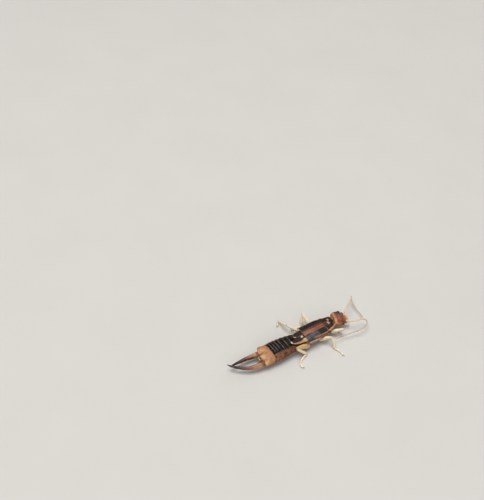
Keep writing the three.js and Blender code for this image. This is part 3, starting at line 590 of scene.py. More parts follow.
def wing_tip_look(side):
    L = Look(f"wing_tip_{side}")
    u, t = L.field("a"), L.field("b")
    ju = L.jitter(u, 0.12, 1.6)
    c = L.mix(L.step(0.3, 0.9, L.jitter(t, 0.2)), colour(44, 32, 29), colour(30, 20, 18))
    if side == "right":
        narrow = L.math("MULTIPLY", L.step(0.08, 0.42, t), 0.2)
        c = L.mix(L.step(0.5, 0.6, L.math("SUBTRACT", ju, narrow)), c, L.mix(L.step(0.3, 0.1, t), colour(176, 132, 92), colour(214, 176, 132)))
        c = L.mix(L.math("MULTIPLY", L.step(0.9, 0.95, L.jitter(t, 0.04, 3.0)), 0.95), c, colour(226, 206, 184))
    else:
        c = L.mix(L.math("MULTIPLY", L.step(0.86, 0.95, ju), 0.75), c, colour(124, 92, 66))
        c = L.mix(L.math("MULTIPLY", L.step(0.1, 0.03, L.jitter(u, 0.04, 3.0)), 0.7), c, colour(138, 104, 76))
        c = L.mix(L.math("MULTIPLY", L.step(0.93, 0.98, t), 0.8), c, colour(160, 130, 108))
    for cu, ct, w in (((0.2, 0.185, 0.1),) if side == "right" else ((0.0, 0.95, 0.17),)):
        spot = L.math("MULTIPLY", L.band(u, cu, 0.14, 0.7), L.band(t, ct, w * 0.6, 0.8))
        c = L.mix(L.math("MULTIPLY", spot, 0.95), c, colour(226, 204, 184))
    c = L.mottled(c, 0.26, 3.0, 16.0)
    n = L.relief(L.noise(7.0, 4.0, 0.6, vec=L.stretched(1.0, 0.3, 1.0)), 0.014)
    n = L.relief(L.noise(50.0, 2.0, 0.6), 0.0018, under=n)
    return L.done(c, roughness(L, 0.32, 0.5), n, coat=0.05, coat_rough=0.25, level=0.36)


def tergite_look(share):
    """share 0 at the front rings, 1 at the last one: the flanks get redder to the rear."""
    L = Look(f"ring_plate_{int(round(share * 10)):02d}")
    across, t, edge = L.field("a"), L.field("b"), L.field("c")
    far = L.math("ABSOLUTE", L.math("SUBTRACT", L.jitter(across, 0.12, 1.8), 0.16))
    c = L.mix(L.step(0.2, 0.8, L.noise(1.6, 3.0)), colour(12, 7, 6), colour(22, 13, 10))
    flank = tuple(lerp(np.array(colour(88, 58, 47)), np.array(colour(150, 102, 76)), share))
    c = L.mix(L.step(lerp(0.62, 0.54, share), lerp(0.84, 0.76, share), far), c, flank)
    # pale rear margins of the plates: partly their own lighter rim, partly a painted highlight
    pale = L.math("MULTIPLY", L.step(lerp(0.95, 0.86, share), lerp(0.985, 0.95, share), L.jitter(t, 0.05, 3.0)), L.step(0.66, 0.2, L.jitter(far, 0.5, 2.6)))
    c = L.mix(L.math("MULTIPLY", L.math("MULTIPLY", pale, L.step(0.28, 0.56, L.noise(1.7, 2.0), 0.12, 1.0)), lerp(0.35, 0.8, min(1.0, share * 2))), c, colour(166, 155, 147))
    # a thin grey streak across the top of each plate is a painted highlight
    fine = L.math("MULTIPLY", L.band(L.jitter(t, 0.12, 1.6), 0.62, 0.022, 0.8), L.step(0.5, 0.66, L.noise(1.9, 2.0)))
    c = L.mix(L.math("MULTIPLY", fine, L.step(0.6, 0.2, far)), c, colour(104, 92, 88))
    c = L.mix(L.math("MULTIPLY", L.step(0.94, 0.99, t), L.step(0.5, 0.7, far)), c, colour(128, 84, 62))
    c = L.mix(L.math("MULTIPLY", L.step(0.9, 0.93, t), L.step(0.95, 0.93, t)), c, colour(22, 12, 9))
    c = L.mix(L.math("MULTIPLY", edge, 0.6), c, colour(150, 104, 70))
    blot = L.math("MULTIPLY", L.step(0.48, 0.62, L.noise(1.7, 4.0, 0.6)), L.step(0.5, 0.7, far))
    c = L.mix(L.math("MULTIPLY", blot, 0.7), c, colour(44, 24, 19))
    c = L.mottled(c, 0.42, 3.2, 11.0)
    streak = L.relief(L.noise(16.0, 3.0, 0.6, vec=L.stretched(1.0, 0.3, 1.0)), 0.006)
    n = L.relief(L.step(0.0, 0.4, L.cells(9.0)), 0.008, under=streak)
    n = L.relief(L.noise(48.0, 2.0, 0.6), 0.0018, under=n)
    return L.done(c, roughness(L, 0.3, 0.44), n, coat=0.02, coat_rough=0.2, level=0.18)


def sternite_look():
    L = Look("belly_plate")
    across, t = L.field("a"), L.field("b")
    far = L.math("ABSOLUTE", L.jitter(across, 0.12, 1.6))
    c = L.mix(L.step(0.4, 0.95, far), colour(150, 98, 60), colour(112, 66, 44))
    c = L.mix(L.math("MULTIPLY", L.step(0.9, 0.98, t), 0.7), c, colour(196, 150, 106))
    c = L.mottled(c, 0.3, 2.4, 14.0)
    return L.done(c, roughness(L, 0.32, 0.46), skin_relief(L, 8.0, 0.006, 44.0, 0.0018, 2.5, 0.008), coat=0.2, coat_rough=0.2)


def last_look():
    L = Look("last_plate_horn")
    x, t, low = L.field("a"), L.field("b"), L.field("c")
    far = L.math("ABSOLUTE", x)
    c = L.mix(L.step(0.2, 0.8, L.noise(1.3, 3.0)), colour(166, 114, 76), colour(184, 134, 94))
    # the pale patches on the three lobes are painted highlights, with a partly paler real tone on the left lobe
    knob = L.math("MULTIPLY", L.band(L.jitter(x, 0.2), 0.84, 0.5, 0.8), L.step(0.28, 0.66, L.jitter(t, 0.14)))
    c = L.mix(L.math("MULTIPLY", knob, 0.6), c, colour(206, 162, 108))
    near_lobe_highlight = L.math("MULTIPLY", L.band(L.jitter(x, 0.2), -0.52, 0.5, 0.6), L.step(0.62, 0.94, t))
    c = L.mix(L.math("MULTIPLY", near_lobe_highlight, 0.75), c, colour(228, 186, 142))
    low_lobe_highlight = L.math("MULTIPLY", L.band(L.jitter(x, 0.12), -1.95, 0.28, 0.6), L.step(0.56, 0.9, t))
    c = L.mix(L.math("MULTIPLY", low_lobe_highlight, 0.7), c, colour(224, 182, 136))
    c = L.mix(L.math("MULTIPLY", L.band(L.jitter(x, 0.1), -1.2, 0.2, 0.8), L.step(0.5, 0.9, t)), c, colour(176, 120, 78))
    # the furrow is darkened with painted shade
    crease = L.math("MULTIPLY", L.band(L.jitter(x, 0.06, 3.0), 0.27, 0.075, 0.9), L.step(0.5, 0.75, t))
    c = L.mix(L.math("MULTIPLY", crease, 0.85), c, colour(100, 56, 32))
    c = L.mix(L.math("MULTIPLY", L.step(0.12, 0.0, t), 0.5), c, colour(206, 156, 122))
    c = L.mix(L.math("MULTIPLY", L.step(0.03, 0.0, t), 0.8), c, colour(110, 60, 38))
    c = L.mix(L.math("MULTIPLY", L.step(0.965, 1.0, t), 0.5), c, colour(128, 66, 40))
    # painted shade at the right rear corner, where the right pincer's root meets the plate
    c = L.mix(L.math("MULTIPLY", L.math("MULTIPLY", L.step(0.9, 0.97, t), L.step(-0.8, -1.3, x)), 0.85), c, colour(92, 44, 27))
    c = L.mix(L.math("MULTIPLY", L.step(0.1, -0.6, low), 0.6), c, colour(150, 92, 56))
    c = L.mottled(c, 0.22, 2.2, 13.0)
    return L.done(c, roughness(L, 0.36, 0.52), skin_relief(L, 8.0, 0.005, 44.0, 0.0018, 2.2, 0.012), coat=0.05, coat_rough=0.26, level=0.32)


def end_look():
    L = Look("end_plate_horn")
    rim = L.field("c")
    c = L.mix(L.step(0.3, 0.7, L.noise(4.0, 3.0)), colour(104, 46, 30), colour(128, 64, 42))
    c = L.mix(rim, c, colour(222, 182, 142))
    return L.done(L.mottled(c, 0.2, 4.0, 16.0), roughness(L, 0.3, 0.42), skin_relief(L, 9.0, 0.004, 46.0, 0.0016), coat=0.15, coat_rough=0.2)


def pincer_look():
    L = Look("pincer_horn")
    a, inner = L.field("a"), L.field("b")
    j = L.jitter(a, 0.08, 1.5)
    c = L.mix(L.step(0.0, 0.3, j), colour(190, 146, 108), colour(172, 123, 95))
    # painted shade at the root, where the arm goes in under the last plate
    c = L.mix(L.math("MULTIPLY", L.step(0.15, 0.09, L.jitter(a, 0.02, 3.0)), 0.75), c, colour(104, 54, 34))
    c = L.mix(L.step(0.22, 0.52, j), c, colour(112, 68, 54))
    c = L.mix(L.step(0.5, 0.74, j), c, colour(28, 16, 14))
    # painted shade on the inner faces of the arms, beyond their roots
    c = L.mix(L.math("MULTIPLY", L.step(0.2, 0.8, inner), L.step(0.03, 0.3, j)), c, colour(66, 32, 24))
    c = L.mottled(c, 0.3, 2.0, 12.0)
    streak = L.relief(L.noise(10.0, 3.0, 0.6, vec=L.stretched(1.0, 0.25, 1.0)), 0.008)
    n = L.relief(L.noise(44.0, 2.0, 0.6), 0.0016, under=streak)
    return L.done(c, roughness(L, 0.2, 0.34), n, coat=0.14, coat_rough=0.12, level=0.42)


def leg_look(name, base, knee, dark=0.0):
    L = Look(name)
    a, b = L.field("a"), L.field("b")
    c = L.mix(L.step(0.25, 0.75, L.noise(1.5, 3.0)), base, knee)
    c = L.mix(L.math("MULTIPLY", L.step(0.12, 0.0, a), 0.7), c, colour(150, 96, 52))
    c = L.mix(L.math("MULTIPLY", L.step(0.92, 1.0, a), 0.45), c, colour(158, 104, 60))
    c = L.mix(L.math("MULTIPLY", L.step(0.35, 0.95, b), dark), c, colour(150, 104, 60))
    c = L.mottled(c, 0.07, 2.8, 16.0)
    n = L.relief(L.noise(12.0, 3.0, 0.6), 0.006)
    n = L.relief(L.noise(55.0, 2.0, 0.6), 0.0015, under=n)
    return L.done(c, roughness(L, 0.32, 0.48), n, coat=0.15, coat_rough=0.2, thin=0.12)


def feeler_look():
    L = Look("feeler_beads")
    a, b = L.field("a"), L.field("b")
    c = L.mix(L.step(0.0, 0.45, a), colour(230, 208, 176), colour(208, 188, 164))
    c = L.mix(L.step(0.45, 1.0, a), c, colour(188, 172, 160))
    c = L.mix(L.math("MULTIPLY", L.step(0.86, 1.0, b), 0.55), c, colour(226, 208, 184))
    c = L.mix(L.math("MULTIPLY", L.step(0.16, 0.0, b), 0.6), c, colour(96, 66, 46))
    c = L.mottled(c, 0.2, 4.0, 20.0)
    n = L.relief(L.noise(40.0, 3.0, 0.7), 0.004)
    return L.done(c, roughness(L, 0.45, 0.62), n, sheen=0.15)


def mouth_look():
    L = Look("mouth_horn")
    a, b = L.field("a"), L.field("b")
    c = L.mix(L.step(0.1, 0.6, L.jitter(a, 0.2)), colour(190, 138, 84), colour(132, 76, 42))
    c = L.mix(L.step(0.7, 0.95, a), c, colour(60, 26, 14))
    c = L.mottled(c, 0.24, 3.2, 16.0)
    return L.done(c, roughness(L, 0.26, 0.4), skin_relief(L, 10.0, 0.004, 46.0, 0.0016), coat=0.25, coat_rough=0.15)


def lip_look():
    L = Look("lip_horn")
    a = L.field("a")
    c = L.mix(L.step(0.1, 0.8, L.jitter(a, 0.2)), colour(176, 112, 66), colour(206, 158, 104))
    c = L.mottled(c, 0.2, 3.2, 16.0)
    return L.done(c, roughness(L, 0.28, 0.42), skin_relief(L, 10.0, 0.004, 46.0, 0.0016), coat=0.2, coat_rough=0.15)


def soft_look():
    L = Look("joint_skin")
    c = L.mix(L.step(0.3, 0.7, L.noise(2.2, 4.0)), colour(186, 142, 92), colour(150, 104, 64))
    fold = L.relief(L.noise(6.0, 4.0, 0.6, vec=L.stretched(0.5, 2.2, 0.7)), 0.03)
    n = L.relief(L.noise(40.0, 2.0, 0.6), 0.002, under=fold)
    return L.done(L.mottled(c, 0.25, 3.0, 15.0), roughness(L, 0.42, 0.6), n, sheen=0.1)


def chest_look():
    L = Look("chest_plate")
    edge = L.field("c")
    c = L.mix(L.step(0.3, 0.7, L.noise(1.4, 4.0)), colour(176, 124, 74), colour(138, 88, 52))
    c = L.mix(L.math("MULTIPLY", edge, 0.6), c, colour(92, 54, 32))
    return L.done(L.mottled(c, 0.28, 2.4, 14.0), roughness(L, 0.32, 0.48), skin_relief(L, 8.0, 0.005, 42.0, 0.0018, 2.5, 0.012), coat=0.18, coat_rough=0.2)


def bristle_look(name, c):
    L = Look(name)
    return L.done(c, 0.4)


HEAD_M, EYE_M, PRONOTUM_M = head_look(), eye_look(), pronotum_look()
TEGMEN_M = {s: tegmen_look(s) for s in ("left", "right")}
TIP_M = {s: wing_tip_look(s) for s in ("left", "right")}
STERNITE_M, LAST_M, END_M, PINCER_M = sternite_look(), last_look(), end_look(), pincer_look()
FEMUR_M = leg_look("thigh_horn", colour(236, 224, 198), colour(226, 209, 176))
HIND_FEMUR_M = leg_look("hind_thigh_horn", colour(222, 186, 136), colour(206, 166, 114), 0.2)
SHIN_M = leg_look("shin_horn", colour(244, 229, 202), colour(232, 212, 178))
FOOT_M = leg_look("foot_horn", colour(248, 238, 218), colour(238, 222, 194))
FEELER_M, MOUTH_M, LIP_M, SOFT_M, CHEST_M = feeler_look(), mouth_look(), lip_look(), soft_look(), chest_look()
CLAW_M = mouth_look()
CLAW_M.name = "claw_horn"
PALE_BRISTLE, DARK_BRISTLE = bristle_look("pale_bristle", colour(226, 196, 148)), bristle_look("dark_bristle", colour(120, 88, 58))

# ---------------------------------------------------------------- hind body


def bend(y):
    """The hind body bows a little to the animal's left."""
    return BEND["body"] * step(2.6, 4.4, y) + BEND["end"] * step(9.4, 11.4, y)


def ring_points(y, table_row, th, grow=0.0, square=2.3):
    half, mid, up, down = (table_row[..., k] for k in range(4))
    s, c = np.sin(th), np.cos(th)
    return np.stack([(half + grow) * spow(c, 2 / square) + bend(y), y + 0 * th, mid + (np.where(s > 0, up, down) + grow) * spow(s, 2 / square)], -1)


def body_bristles(form, P, N, count, length, keep=None, tilt=0.5):
    at, n, d = scatter(P, N, count, keep)
    if len(at):
        way = n * tilt + d * (1 - tilt) + rng.normal(size=at.shape) * 0.12
        form.hairs(at, way, rng.uniform(0.7, 1.2, len(at)) * length, 0.009, -0.15 * n)


def tergite(k):
    y0, y1 = RING_ENDS[k - 1], RING_ENDS[k]
    span = y1 - y0
    t = np.concatenate([np.linspace(-0.16, 0.8, 15), np.linspace(0.84, 1.0, 12)])
    lap = 0.1 if k < 9 else 0.06
    th = np.linspace(math.radians(-13), math.radians(193), 121)
    T, TH = np.meshgrid(t, th, indexing="ij")
    Y = y0 + T * span + lap * np.clip(T, 0, 1) ** 3
    if k == 9:                                  # its rear edge is drawn in over the back and longer at the sides
        Y = Y + np.clip(T, 0, 1) ** 2 * (0.42 * step(0.85, 0.1, np.sin(TH)) + 0.08 * step(0.5, 0.95, np.sin(TH)))
    grow = lerp(-0.085, 0.0, step(-0.16, 0.25, T)) + 0.022 * np.sin(np.pi * np.clip(T, 0, 1)) + 0.03 * step(0.55, 0.96, T)
    grow += (0.06 * step(0.5, 0.97, T) - 0.02) * step(8.5, 5.0, k) * step(-0.3, 0.3, np.sin(TH))
    grow += 0.012 * np.maximum(0, np.sin(TH * 60)) ** 3 * bump(T, 0.97, 0.04) * step(0.1, 0.5, np.sin(TH))
    R = rows(HIND_BODY, Y.ravel()).reshape(*Y.shape, 4)
    P = ring_points(Y, R, TH, grow)
    flare = step(0.85, 1.0, np.abs(np.cos(TH))) * np.where(np.sin(TH) < 0.1, 1, 0)
    P[..., 0] += 0.03 * flare * np.sign(np.cos(TH))
    P[..., 1] -= 0.05 * step(0.9, 0.2, np.sin(TH)) * T * span
    form = Form()
    low = np.sin(TH) < -0.12
    P, N = form.shell(P, 0.05, A(0, (y0 + y1) / 2, 1.4), a=np.cos(TH), b=T, c=step(0.02, -0.2, np.sin(TH)))
    share = (k - 1) / 8
    name = f"tergite_{k}"
    hair = Form()
    if k >= 3:
        body_bristles(form_of("body", hair), P, N, 46, 0.13, keep=step(0.05, 0.3, T) * (np.sin(TH) > -0.1), tilt=0.35)
        at, n, d = scatter(P, N, 26, keep=bump(T, 0.985, 0.02) * (np.sin(TH) > 0))
        hair.hairs(at, d + n * 0.25, rng.uniform(0.1, 0.17, len(at)), 0.009, -0.1 * n)
    return form, hair, name, tergite_look(share)


def form_of(_, f):
    return f


def sternite(k):
    y0, y1 = RING_ENDS[k - 1], RING_ENDS[k]
    last = k == 9
    span = (11.35 if last else y1) - y0
    t = np.concatenate([np.linspace(-0.14, 0.8, 13 if not last else 26), np.linspace(0.84, 1.0, 8)])
    th = np.linspace(math.radians(184), math.radians(356), 91)
    T, TH = np.meshgrid(t, th, indexing="ij")
    Y = y0 + T * span + (0.0 if last else 0.09 * np.clip(T, 0, 1) ** 3)
    R = rows(HIND_BODY, Y.ravel()).reshape(*Y.shape, 4)
    grow = lerp(-0.1, -0.035, step(-0.14, 0.25, T)) + 0.02 * step(0.6, 0.95, T)
    if last:
        R[..., 0] *= 1 - 0.3 * step(0.45, 1.0, T) - 0.42 * T ** 7
        R[..., 3] *= 1 - 0.28 * step(0.3, 1.0, T)
    P = ring_points(Y, R, TH, grow)
    form = Form()
    P, N = form.shell(P, 0.045, A(0, (y0 + y1) / 2, 1.5), a=np.cos(TH), b=T)
    hair = Form()
    at, n, d = scatter(P, N, 60, keep=step(0.1, 0.4, T))
    hair.hairs(at, d + n * 0.35, rng.uniform(0.09, 0.16, len(at)), 0.009, -0.1 * n)
    return form, hair, f"sternite_{k}"


belly_hair = [Form(), Form()]
for k in range(1, 10):
    form, hair, name, look = tergite(k)
    object_from(form, name, [look], [f"abdomen_{k}"])
    if hair.n:
        object_from(hair, f"tergite_{k}_bristles", [DARK_BRISTLE])
    form, hair, name = sternite(k)
    object_from(form, name, [STERNITE_M])
    object_from(hair, f"sternite_{k}_bristles", [PALE_BRISTLE])

# the soft body inside, which shows in the gaps between the plates
for name, ya, yb in (("body_core_front", 2.1, 6.2), ("body_core_rear", 6.15, 9.75)):
    y = np.linspace(ya, yb, 24)
    th = np.linspace(0, 2 * np.pi, 64, endpoint=False)
    Y, TH = np.meshgrid(y, th, indexing="ij")
    R = rows(HIND_BODY, Y.ravel()).reshape(*Y.shape, 4)
    form = Form()
    form.loft(ring_points(Y, R, TH, -0.13), a=np.cos(TH))
    object_from(form, name, [SOFT_M])



def swung(P):
    """The last plate turns a little to the animal's left, with the pincers."""
    P = P.copy()
    t = np.maximum(0, (P[..., 1] - LAST_RING["front"]) / (LAST_RING["rear"] - LAST_RING["front"]))
    x = P[..., 0].copy()
    P[..., 0] = x + 0.1 * t * t
    P[..., 1] -= LAST_RING["swing"] * x * t ** 1.5
    return P


# last plate, domed over the roots of the pincers, with a furrow down the middle
L = LAST_RING
t = np.concatenate([np.linspace(-0.1, 0.9, 44), np.linspace(0.915, 1.0, 14)])
th = np.linspace(math.radians(-24), math.radians(204), 181)
T, TH = np.meshgrid(t, th, indexing="ij")
Y = L["front"] + T * (L["rear"] - L["front"])
k = np.interp(T, [-0.1, 0, 0.25, 0.6, 0.85, 1], [0.92, 0.93, 0.98, 1.0, 0.985, 0.93])
drop = np.interp(T, [0, 0.25, 0.6, 0.85, 1], [0, 0, 0.02, 0.05, 0.1])
R = np.stack([L["half"] * k, L["mid"] - 0.04 * T, L["up"] - drop, L["down"] - drop - 0.06 * T * T], -1)
P = ring_points(Y, R, TH, 0.0, 2.6)
S, X = np.maximum(0, np.sin(TH)), P[..., 0] - bend(Y)
Tc = np.clip(T, 0, 1)
fold = 0.27 * step(0.1, 0.6, Tc)                                                       # the furrow lies left of the middle
S1 = np.clip(S * 1.6, 0, 1)
P[..., 2] += S1 * Tc ** 2.4 * (-0.4 + 0.36 * step(0.1, 1.25, X) + 0.22 * step(-1.3, -2.1, X))
P[..., 2] += S1 * 0.24 * bump(X, 0.84, 0.5) * bump(Tc, 0.72, 0.24)                       # left lobe
P[..., 2] += S1 * 0.2 * bump(X, -0.26, 0.36) * bump(Tc, 0.9, 0.26)                       # right lobe
P[..., 2] += S1 * 0.12 * bump(X, -1.1, 0.5) * bump(Tc, 0.55, 0.26)
P[..., 2] -= S1 * (0.02 * step(0.12, 0.3, Tc) * step(0.6, 0.4, Tc) + 0.11 * step(0.5, 0.8, Tc)) * bump(X, fold, 0.13)
P[..., 2] -= S1 * 0.06 * bump(X, -0.86, 0.2) * bump(Tc, 0.95, 0.2)
shoulder = bump(np.abs(X), 1.95, 0.22) * bump(Tc, 0.8, 0.15) * np.where(X > 0, 0.3, 1.0)
P[..., 0] += 0.07 * np.sign(X) * shoulder
P[..., 2] += 0.08 * shoulder * np.clip(np.sin(TH) * 2, -1, 1)
P[..., 2] -= S1 * 0.07 * step(0.94, 1.0, Tc)                                            # rolled over at the rear
edge = np.interp(X, [-2.15, -1.97, -1.75, -1.5, -1.25, -1.0, -0.8, -0.55, -0.3, -0.1, 0.1, 0.27, 0.42, 0.7, 1.2, 1.5, 1.85, 2.15],
                 [0.05, 0.04, 0.08, 0.08, -0.03, -0.1, -0.08, 0.08, 0.22, 0.27, 0.2, 0.1, 0.26, 0.4, 0.29, 0.16, -0.13, -0.12])
P[..., 1] += (edge - 0.4 * step(0.12, -0.4, np.sin(TH))) * Tc ** 3
P = swung(P)
form = Form()
P, N = form.shell(P, 0.11 + 0.05 * step(0.6, 1.0, T), A(0.2, 10.7, 1.4), a=X, b=T, c=np.sin(TH))
object_from(form, "last_tergite", [LAST_M], ["abdomen_10"])
hair = Form()
at, n, d = scatter(P, N, 150, keep=step(0.1, 0.4, T))
hair.hairs(at, n * 0.5 + d * 0.5, rng.uniform(0.12, 0.22, len(at)), 0.009, -0.15 * n)
object_from(hair, "last_tergite_bristles", [PALE_BRISTLE])

# dark closed skin behind it, between the roots of the pincers
y = np.array([9.4, 10.1, 10.8, 11.25, 11.5, 11.58])
th = np.linspace(0, 2 * np.pi, 72, endpoint=False)
Y, TH = np.meshgrid(y, th, indexing="ij")
sc = np.array([0.97, 1.0, 1.0, 0.97, 0.86, 0.5])[:, None] + 0 * Y
tt = np.clip((Y - 9.5) / 2, 0, 1)
R = np.stack([(1.96 - 0.04 * tt) * sc, 1.45 - 0.06 * tt, (0.76 - 0.34 * tt) * sc, (0.66 - 0.16 * tt) * sc], -1)
form = Form()
form.loft(swung(ring_points(Y, R, TH, 0, 2.4)), a=np.cos(TH))
object_from(form, "rear_skin", [SOFT_M])

# ---------------------------------------------------------------- pincers


def pincer(side):
    c, s = curve(FORCEPS[side])
    out = 1.0 if side == "right" else -1.0     # sign of u that points away from the other arm
    st, f = stations(190, 0.02, 0.03, 7)
    st = st * 1.045 - 0.045                     # the root reaches back under the last plate
    C = along(c, s, st)
    d = unit(np.gradient(C, axis=0))
    u = unit(np.cross(A(0, 0, 1), d))
    w = np.cross(d, u)
    tt = np.clip(st, 0, 1)
    wide = lerp(lerp(ARM["root"], ARM["middle"], np.minimum(1, tt * 2.2)), ARM["tip"], np.maximum(0, (tt - 0.45) / 0.55) ** 1.1)
    wide = wide * (1 - 0.45 * step(0.88, 1.0, tt)) * f
    deep = 0.98 * wide
    th = np.linspace(0, 2 * np.pi, 48, endpoint=False)
    TT, TH = np.meshgrid(tt, th, indexing="ij")
    inner = np.cos(TH) * -out                  # 1 on the inner edge
    k = 1 + 0.09 * np.cos(3 * (TH - (math.radians(60) if out < 0 else math.radians(120)))) * step(0.7, 0.2, TT)
    k = k * (1 - 0.05 * bump(np.sin(TH), 0.75, 0.25) * step(0.0, 0.1, TT) * step(0.6, 0.4, TT))
    edge = np.clip(inner, 0, 1) ** 8
    grit = np.abs(np.sin(TT * 92)) ** 3 * step(0.04, 0.08, TT) * step(0.6, 0.5, TT)
    add = edge * (0.035 * grit + 0.2 * bump(TT, ARM["tooth"], 0.014) * (1 - 0.2 * np.sin(TH)) + 0.03 * step(0.02, 0.1, TT) * step(0.6, 0.5, TT))
    add += 0.1 * bump(TT, 0.0, 0.05)
    root = step(0.2, 0.09, st[:, None]) if side == "right" else step(0.1, -0.02, st[:, None])
    low = 1 - 0.5 * root * np.clip(np.sin(TH) * 1.5, 0, 1)     # flatter under the last plate
    slim = 1 - 0.2 * root * np.clip(np.cos(TH) * out, 0, 1)
    P = C[:, None] + u[:, None] * ((wide[:, None] * k + add * f[:, None]) * slim * np.cos(TH))[..., None] \
        + w[:, None] * ((deep[:, None] * k + 0.3 * add * f[:, None]) * low * np.sin(TH))[..., None]
    form = Form()
    form.loft(P, a=TT, b=inner)
    object_from(form, f"pincer_{side}", [PINCER_M], [f"forceps_{side}"])
    hair = Form()
    N = grid_normals(P, True)
    at, n, dd = scatter(P, N, 70, keep=step(0.05, 0.1, TT) * step(0.75, 0.5, TT))
    hair.hairs(at, n * 0.6 + dd * 0.4, rng.uniform(0.1, 0.2, len(at)), 0.008, -0.1 * n)
    object_from(hair, f"pincer_{side}_bristles", [PALE_BRISTLE])


for side in ("right", "left"):
    pincer(side)

# end plate between the pincers: a rounded block, sunken on top, with a pale raised edge behind
st, f = stations(60, 0.12, 0.16, 10)
th = np.linspace(0, 2 * np.pi, 64, endpoint=False)
T, TH = np.meshgrid(st, th, indexing="ij")
half = (0.5 - 0.12 * T) * f[:, None]
x, z = half * spow(np.cos(TH), 2 / 2.8), 0.25 * (1 - 0.25 * T) * f[:, None] * spow(np.sin(TH), 2 / 2.6)
top = step(0.1, 0.6, np.sin(TH))
rim = np.clip(step(0.62, 0.95, np.abs(x) / 0.42) + step(0.72, 0.93, T), 0, 1)
z = z + top * (0.07 * rim - 0.13 * (1 - rim) * step(0.15, 0.4, T))
P = np.stack([0.08 + 0.26 * T + x, 11.28 + 1.08 * T - 0.1 * bump(x, 0, 0.14) * step(0.7, 1, T) - 0.12 * x * T, 1.42 - 0.16 * T + z], -1)
form = Form()
form.loft(P, a=x, b=T, c=rim)
object_from(form, "end_plate", [END_M], ["pygidium"])

# ---------------------------------------------------------------- chest

CHEST = {
    "prothorax": [[-4.75, 0.7, 1.45, 0.55, 0.6], [-4.3, 0.92, 1.45, 0.8, 0.7], [-3.5, 1.05, 1.45, 0.95, 0.76], [-2.5, 1.0, 1.45, 0.9, 0.74]],
    "mesothorax": [[-2.6, 1.0, 1.45, 0.9, 0.72], [-2.0, 1.35, 1.5, 1.15, 0.8], [-1.0, 1.5, 1.5, 1.2, 0.84], [-0.2, 1.42, 1.5, 1.2, 0.8]],
    "metathorax": [[-0.3, 1.42, 1.5, 1.2, 0.8], [0.6, 1.56, 1.5, 1.2, 0.86], [1.6, 1.55, 1.48, 1.15, 0.82], [2.4, 1.4, 1.42, 1.0, 0.72]],
}
for name, table in CHEST.items():
    y = np.linspace(table[0][0], table[-1][0], 46)
    th = np.linspace(0, 2 * np.pi, 96, endpoint=False)
    Y, TH = np.meshgrid(y, th, indexing="ij")
    t = (Y - y[0]) / (y[-1] - y[0])
    R = rows(table, Y.ravel()).reshape(*Y.shape, 4)
    grow = -0.09 * (step(0.1, 0.0, t) + step(0.9, 1.0, t))
    S = np.sin(TH)
    side_seam = bump(S, -0.35, 0.07) + bump(S, -0.02, 0.06)       # seams between side and belly plates
    grow = grow - 0.035 * side_seam - 0.05 * bump(t, 0.55 + 0.25 * S, 0.035) * step(0.1, -0.1, S) * step(-0.9, -0.6, S)
    P = ring_points(Y, R, TH, grow)
    form = Form()
    form.loft(P, a=np.cos(TH), b=t, c=np.clip(side_seam + bump(t, 0.55 + 0.25 * S, 0.05) * step(0.1, -0.1, S), 0, 1))
    object_from(form, name + "_skin", [CHEST_M], [name])
# breast plates
for k, (ya, yb, half, z) in enumerate([(-4.5, -2.75, 0.52, 0.7), (-2.3, -0.45, 0.72, 0.68), (-0.2, 2.0, 0.8, 0.66)]):
    v, u = np.meshgrid(np.linspace(0, 1, 30), np.linspace(-1, 1, 41), indexing="ij")
    w = half * (0.62 + 0.38 * np.sin(np.pi * np.clip(v * 0.8 + 0.12, 0, 1))) * np.sqrt(np.clip(1 - np.abs(2 * v - 1) ** 6, 0.02, 1))
    P = np.stack([w * u, lerp(ya, yb, v), z - 0.06 * (1 - u * u) + 0.03 * bump(u, 0, 0.12)], -1)
    form = Form()
    P, N = form.shell(P, 0.06, A(0, (ya + yb) / 2, 2), a=u, b=v, c=np.clip(step(0.8, 1.0, np.abs(u)) + step(0.9, 1.0, v), 0, 1))
    object_from(form, f"breast_plate_{k + 1}", [CHEST_M])

# neck
y = np.linspace(-4.4, -5.45, 40)
th = np.linspace(0, 2 * np.pi, 72, endpoint=False)
Y, TH = np.meshgrid(y, th, indexing="ij")
t = (y[0] - Y) / (y[0] - y[-1])
R = np.stack([0.56 + 0.12 * t, 1.48 + 0.42 * t, 0.4 - 0.02 * t, 0.5 - 0.06 * t], -1)
P = ring_points(Y, R, TH, 0.035 * np.sin(t * 34) * step(0, 0.2, t) - 0.03)
P[..., 0] += 0.12 + 0.36 * t
form = Form()
form.loft(P, a=np.cos(TH), b=t)
for s in (1, -1):                                                # small plates on the sides of the neck
    vv, uu = np.meshgrid(np.linspace(0, 1, 14), np.linspace(math.radians(-38), math.radians(30), 16), indexing="ij")
    yy = lerp(-4.62, -5.16, vv)
    tq = (y[0] - yy) / (y[0] - y[-1])
    Rq = np.stack([0.56 + 0.12 * tq, 1.48 + 0.42 * tq, 0.4 - 0.02 * tq, 0.5 - 0.06 * tq], -1)
    Q = ring_points(yy, Rq, uu if s > 0 else np.pi - uu, 0.04)
    Q[..., 0] += 0.12 + 0.36 * tq
    form.shell(Q, 0.05, A(0.3, -4.9, 1.7), mat=1, a=0.3, b=vv)
object_from(form, "neck_skin", [SOFT_M, CHEST_M], ["neck"])

# ---------------------------------------------------------------- plates of the back

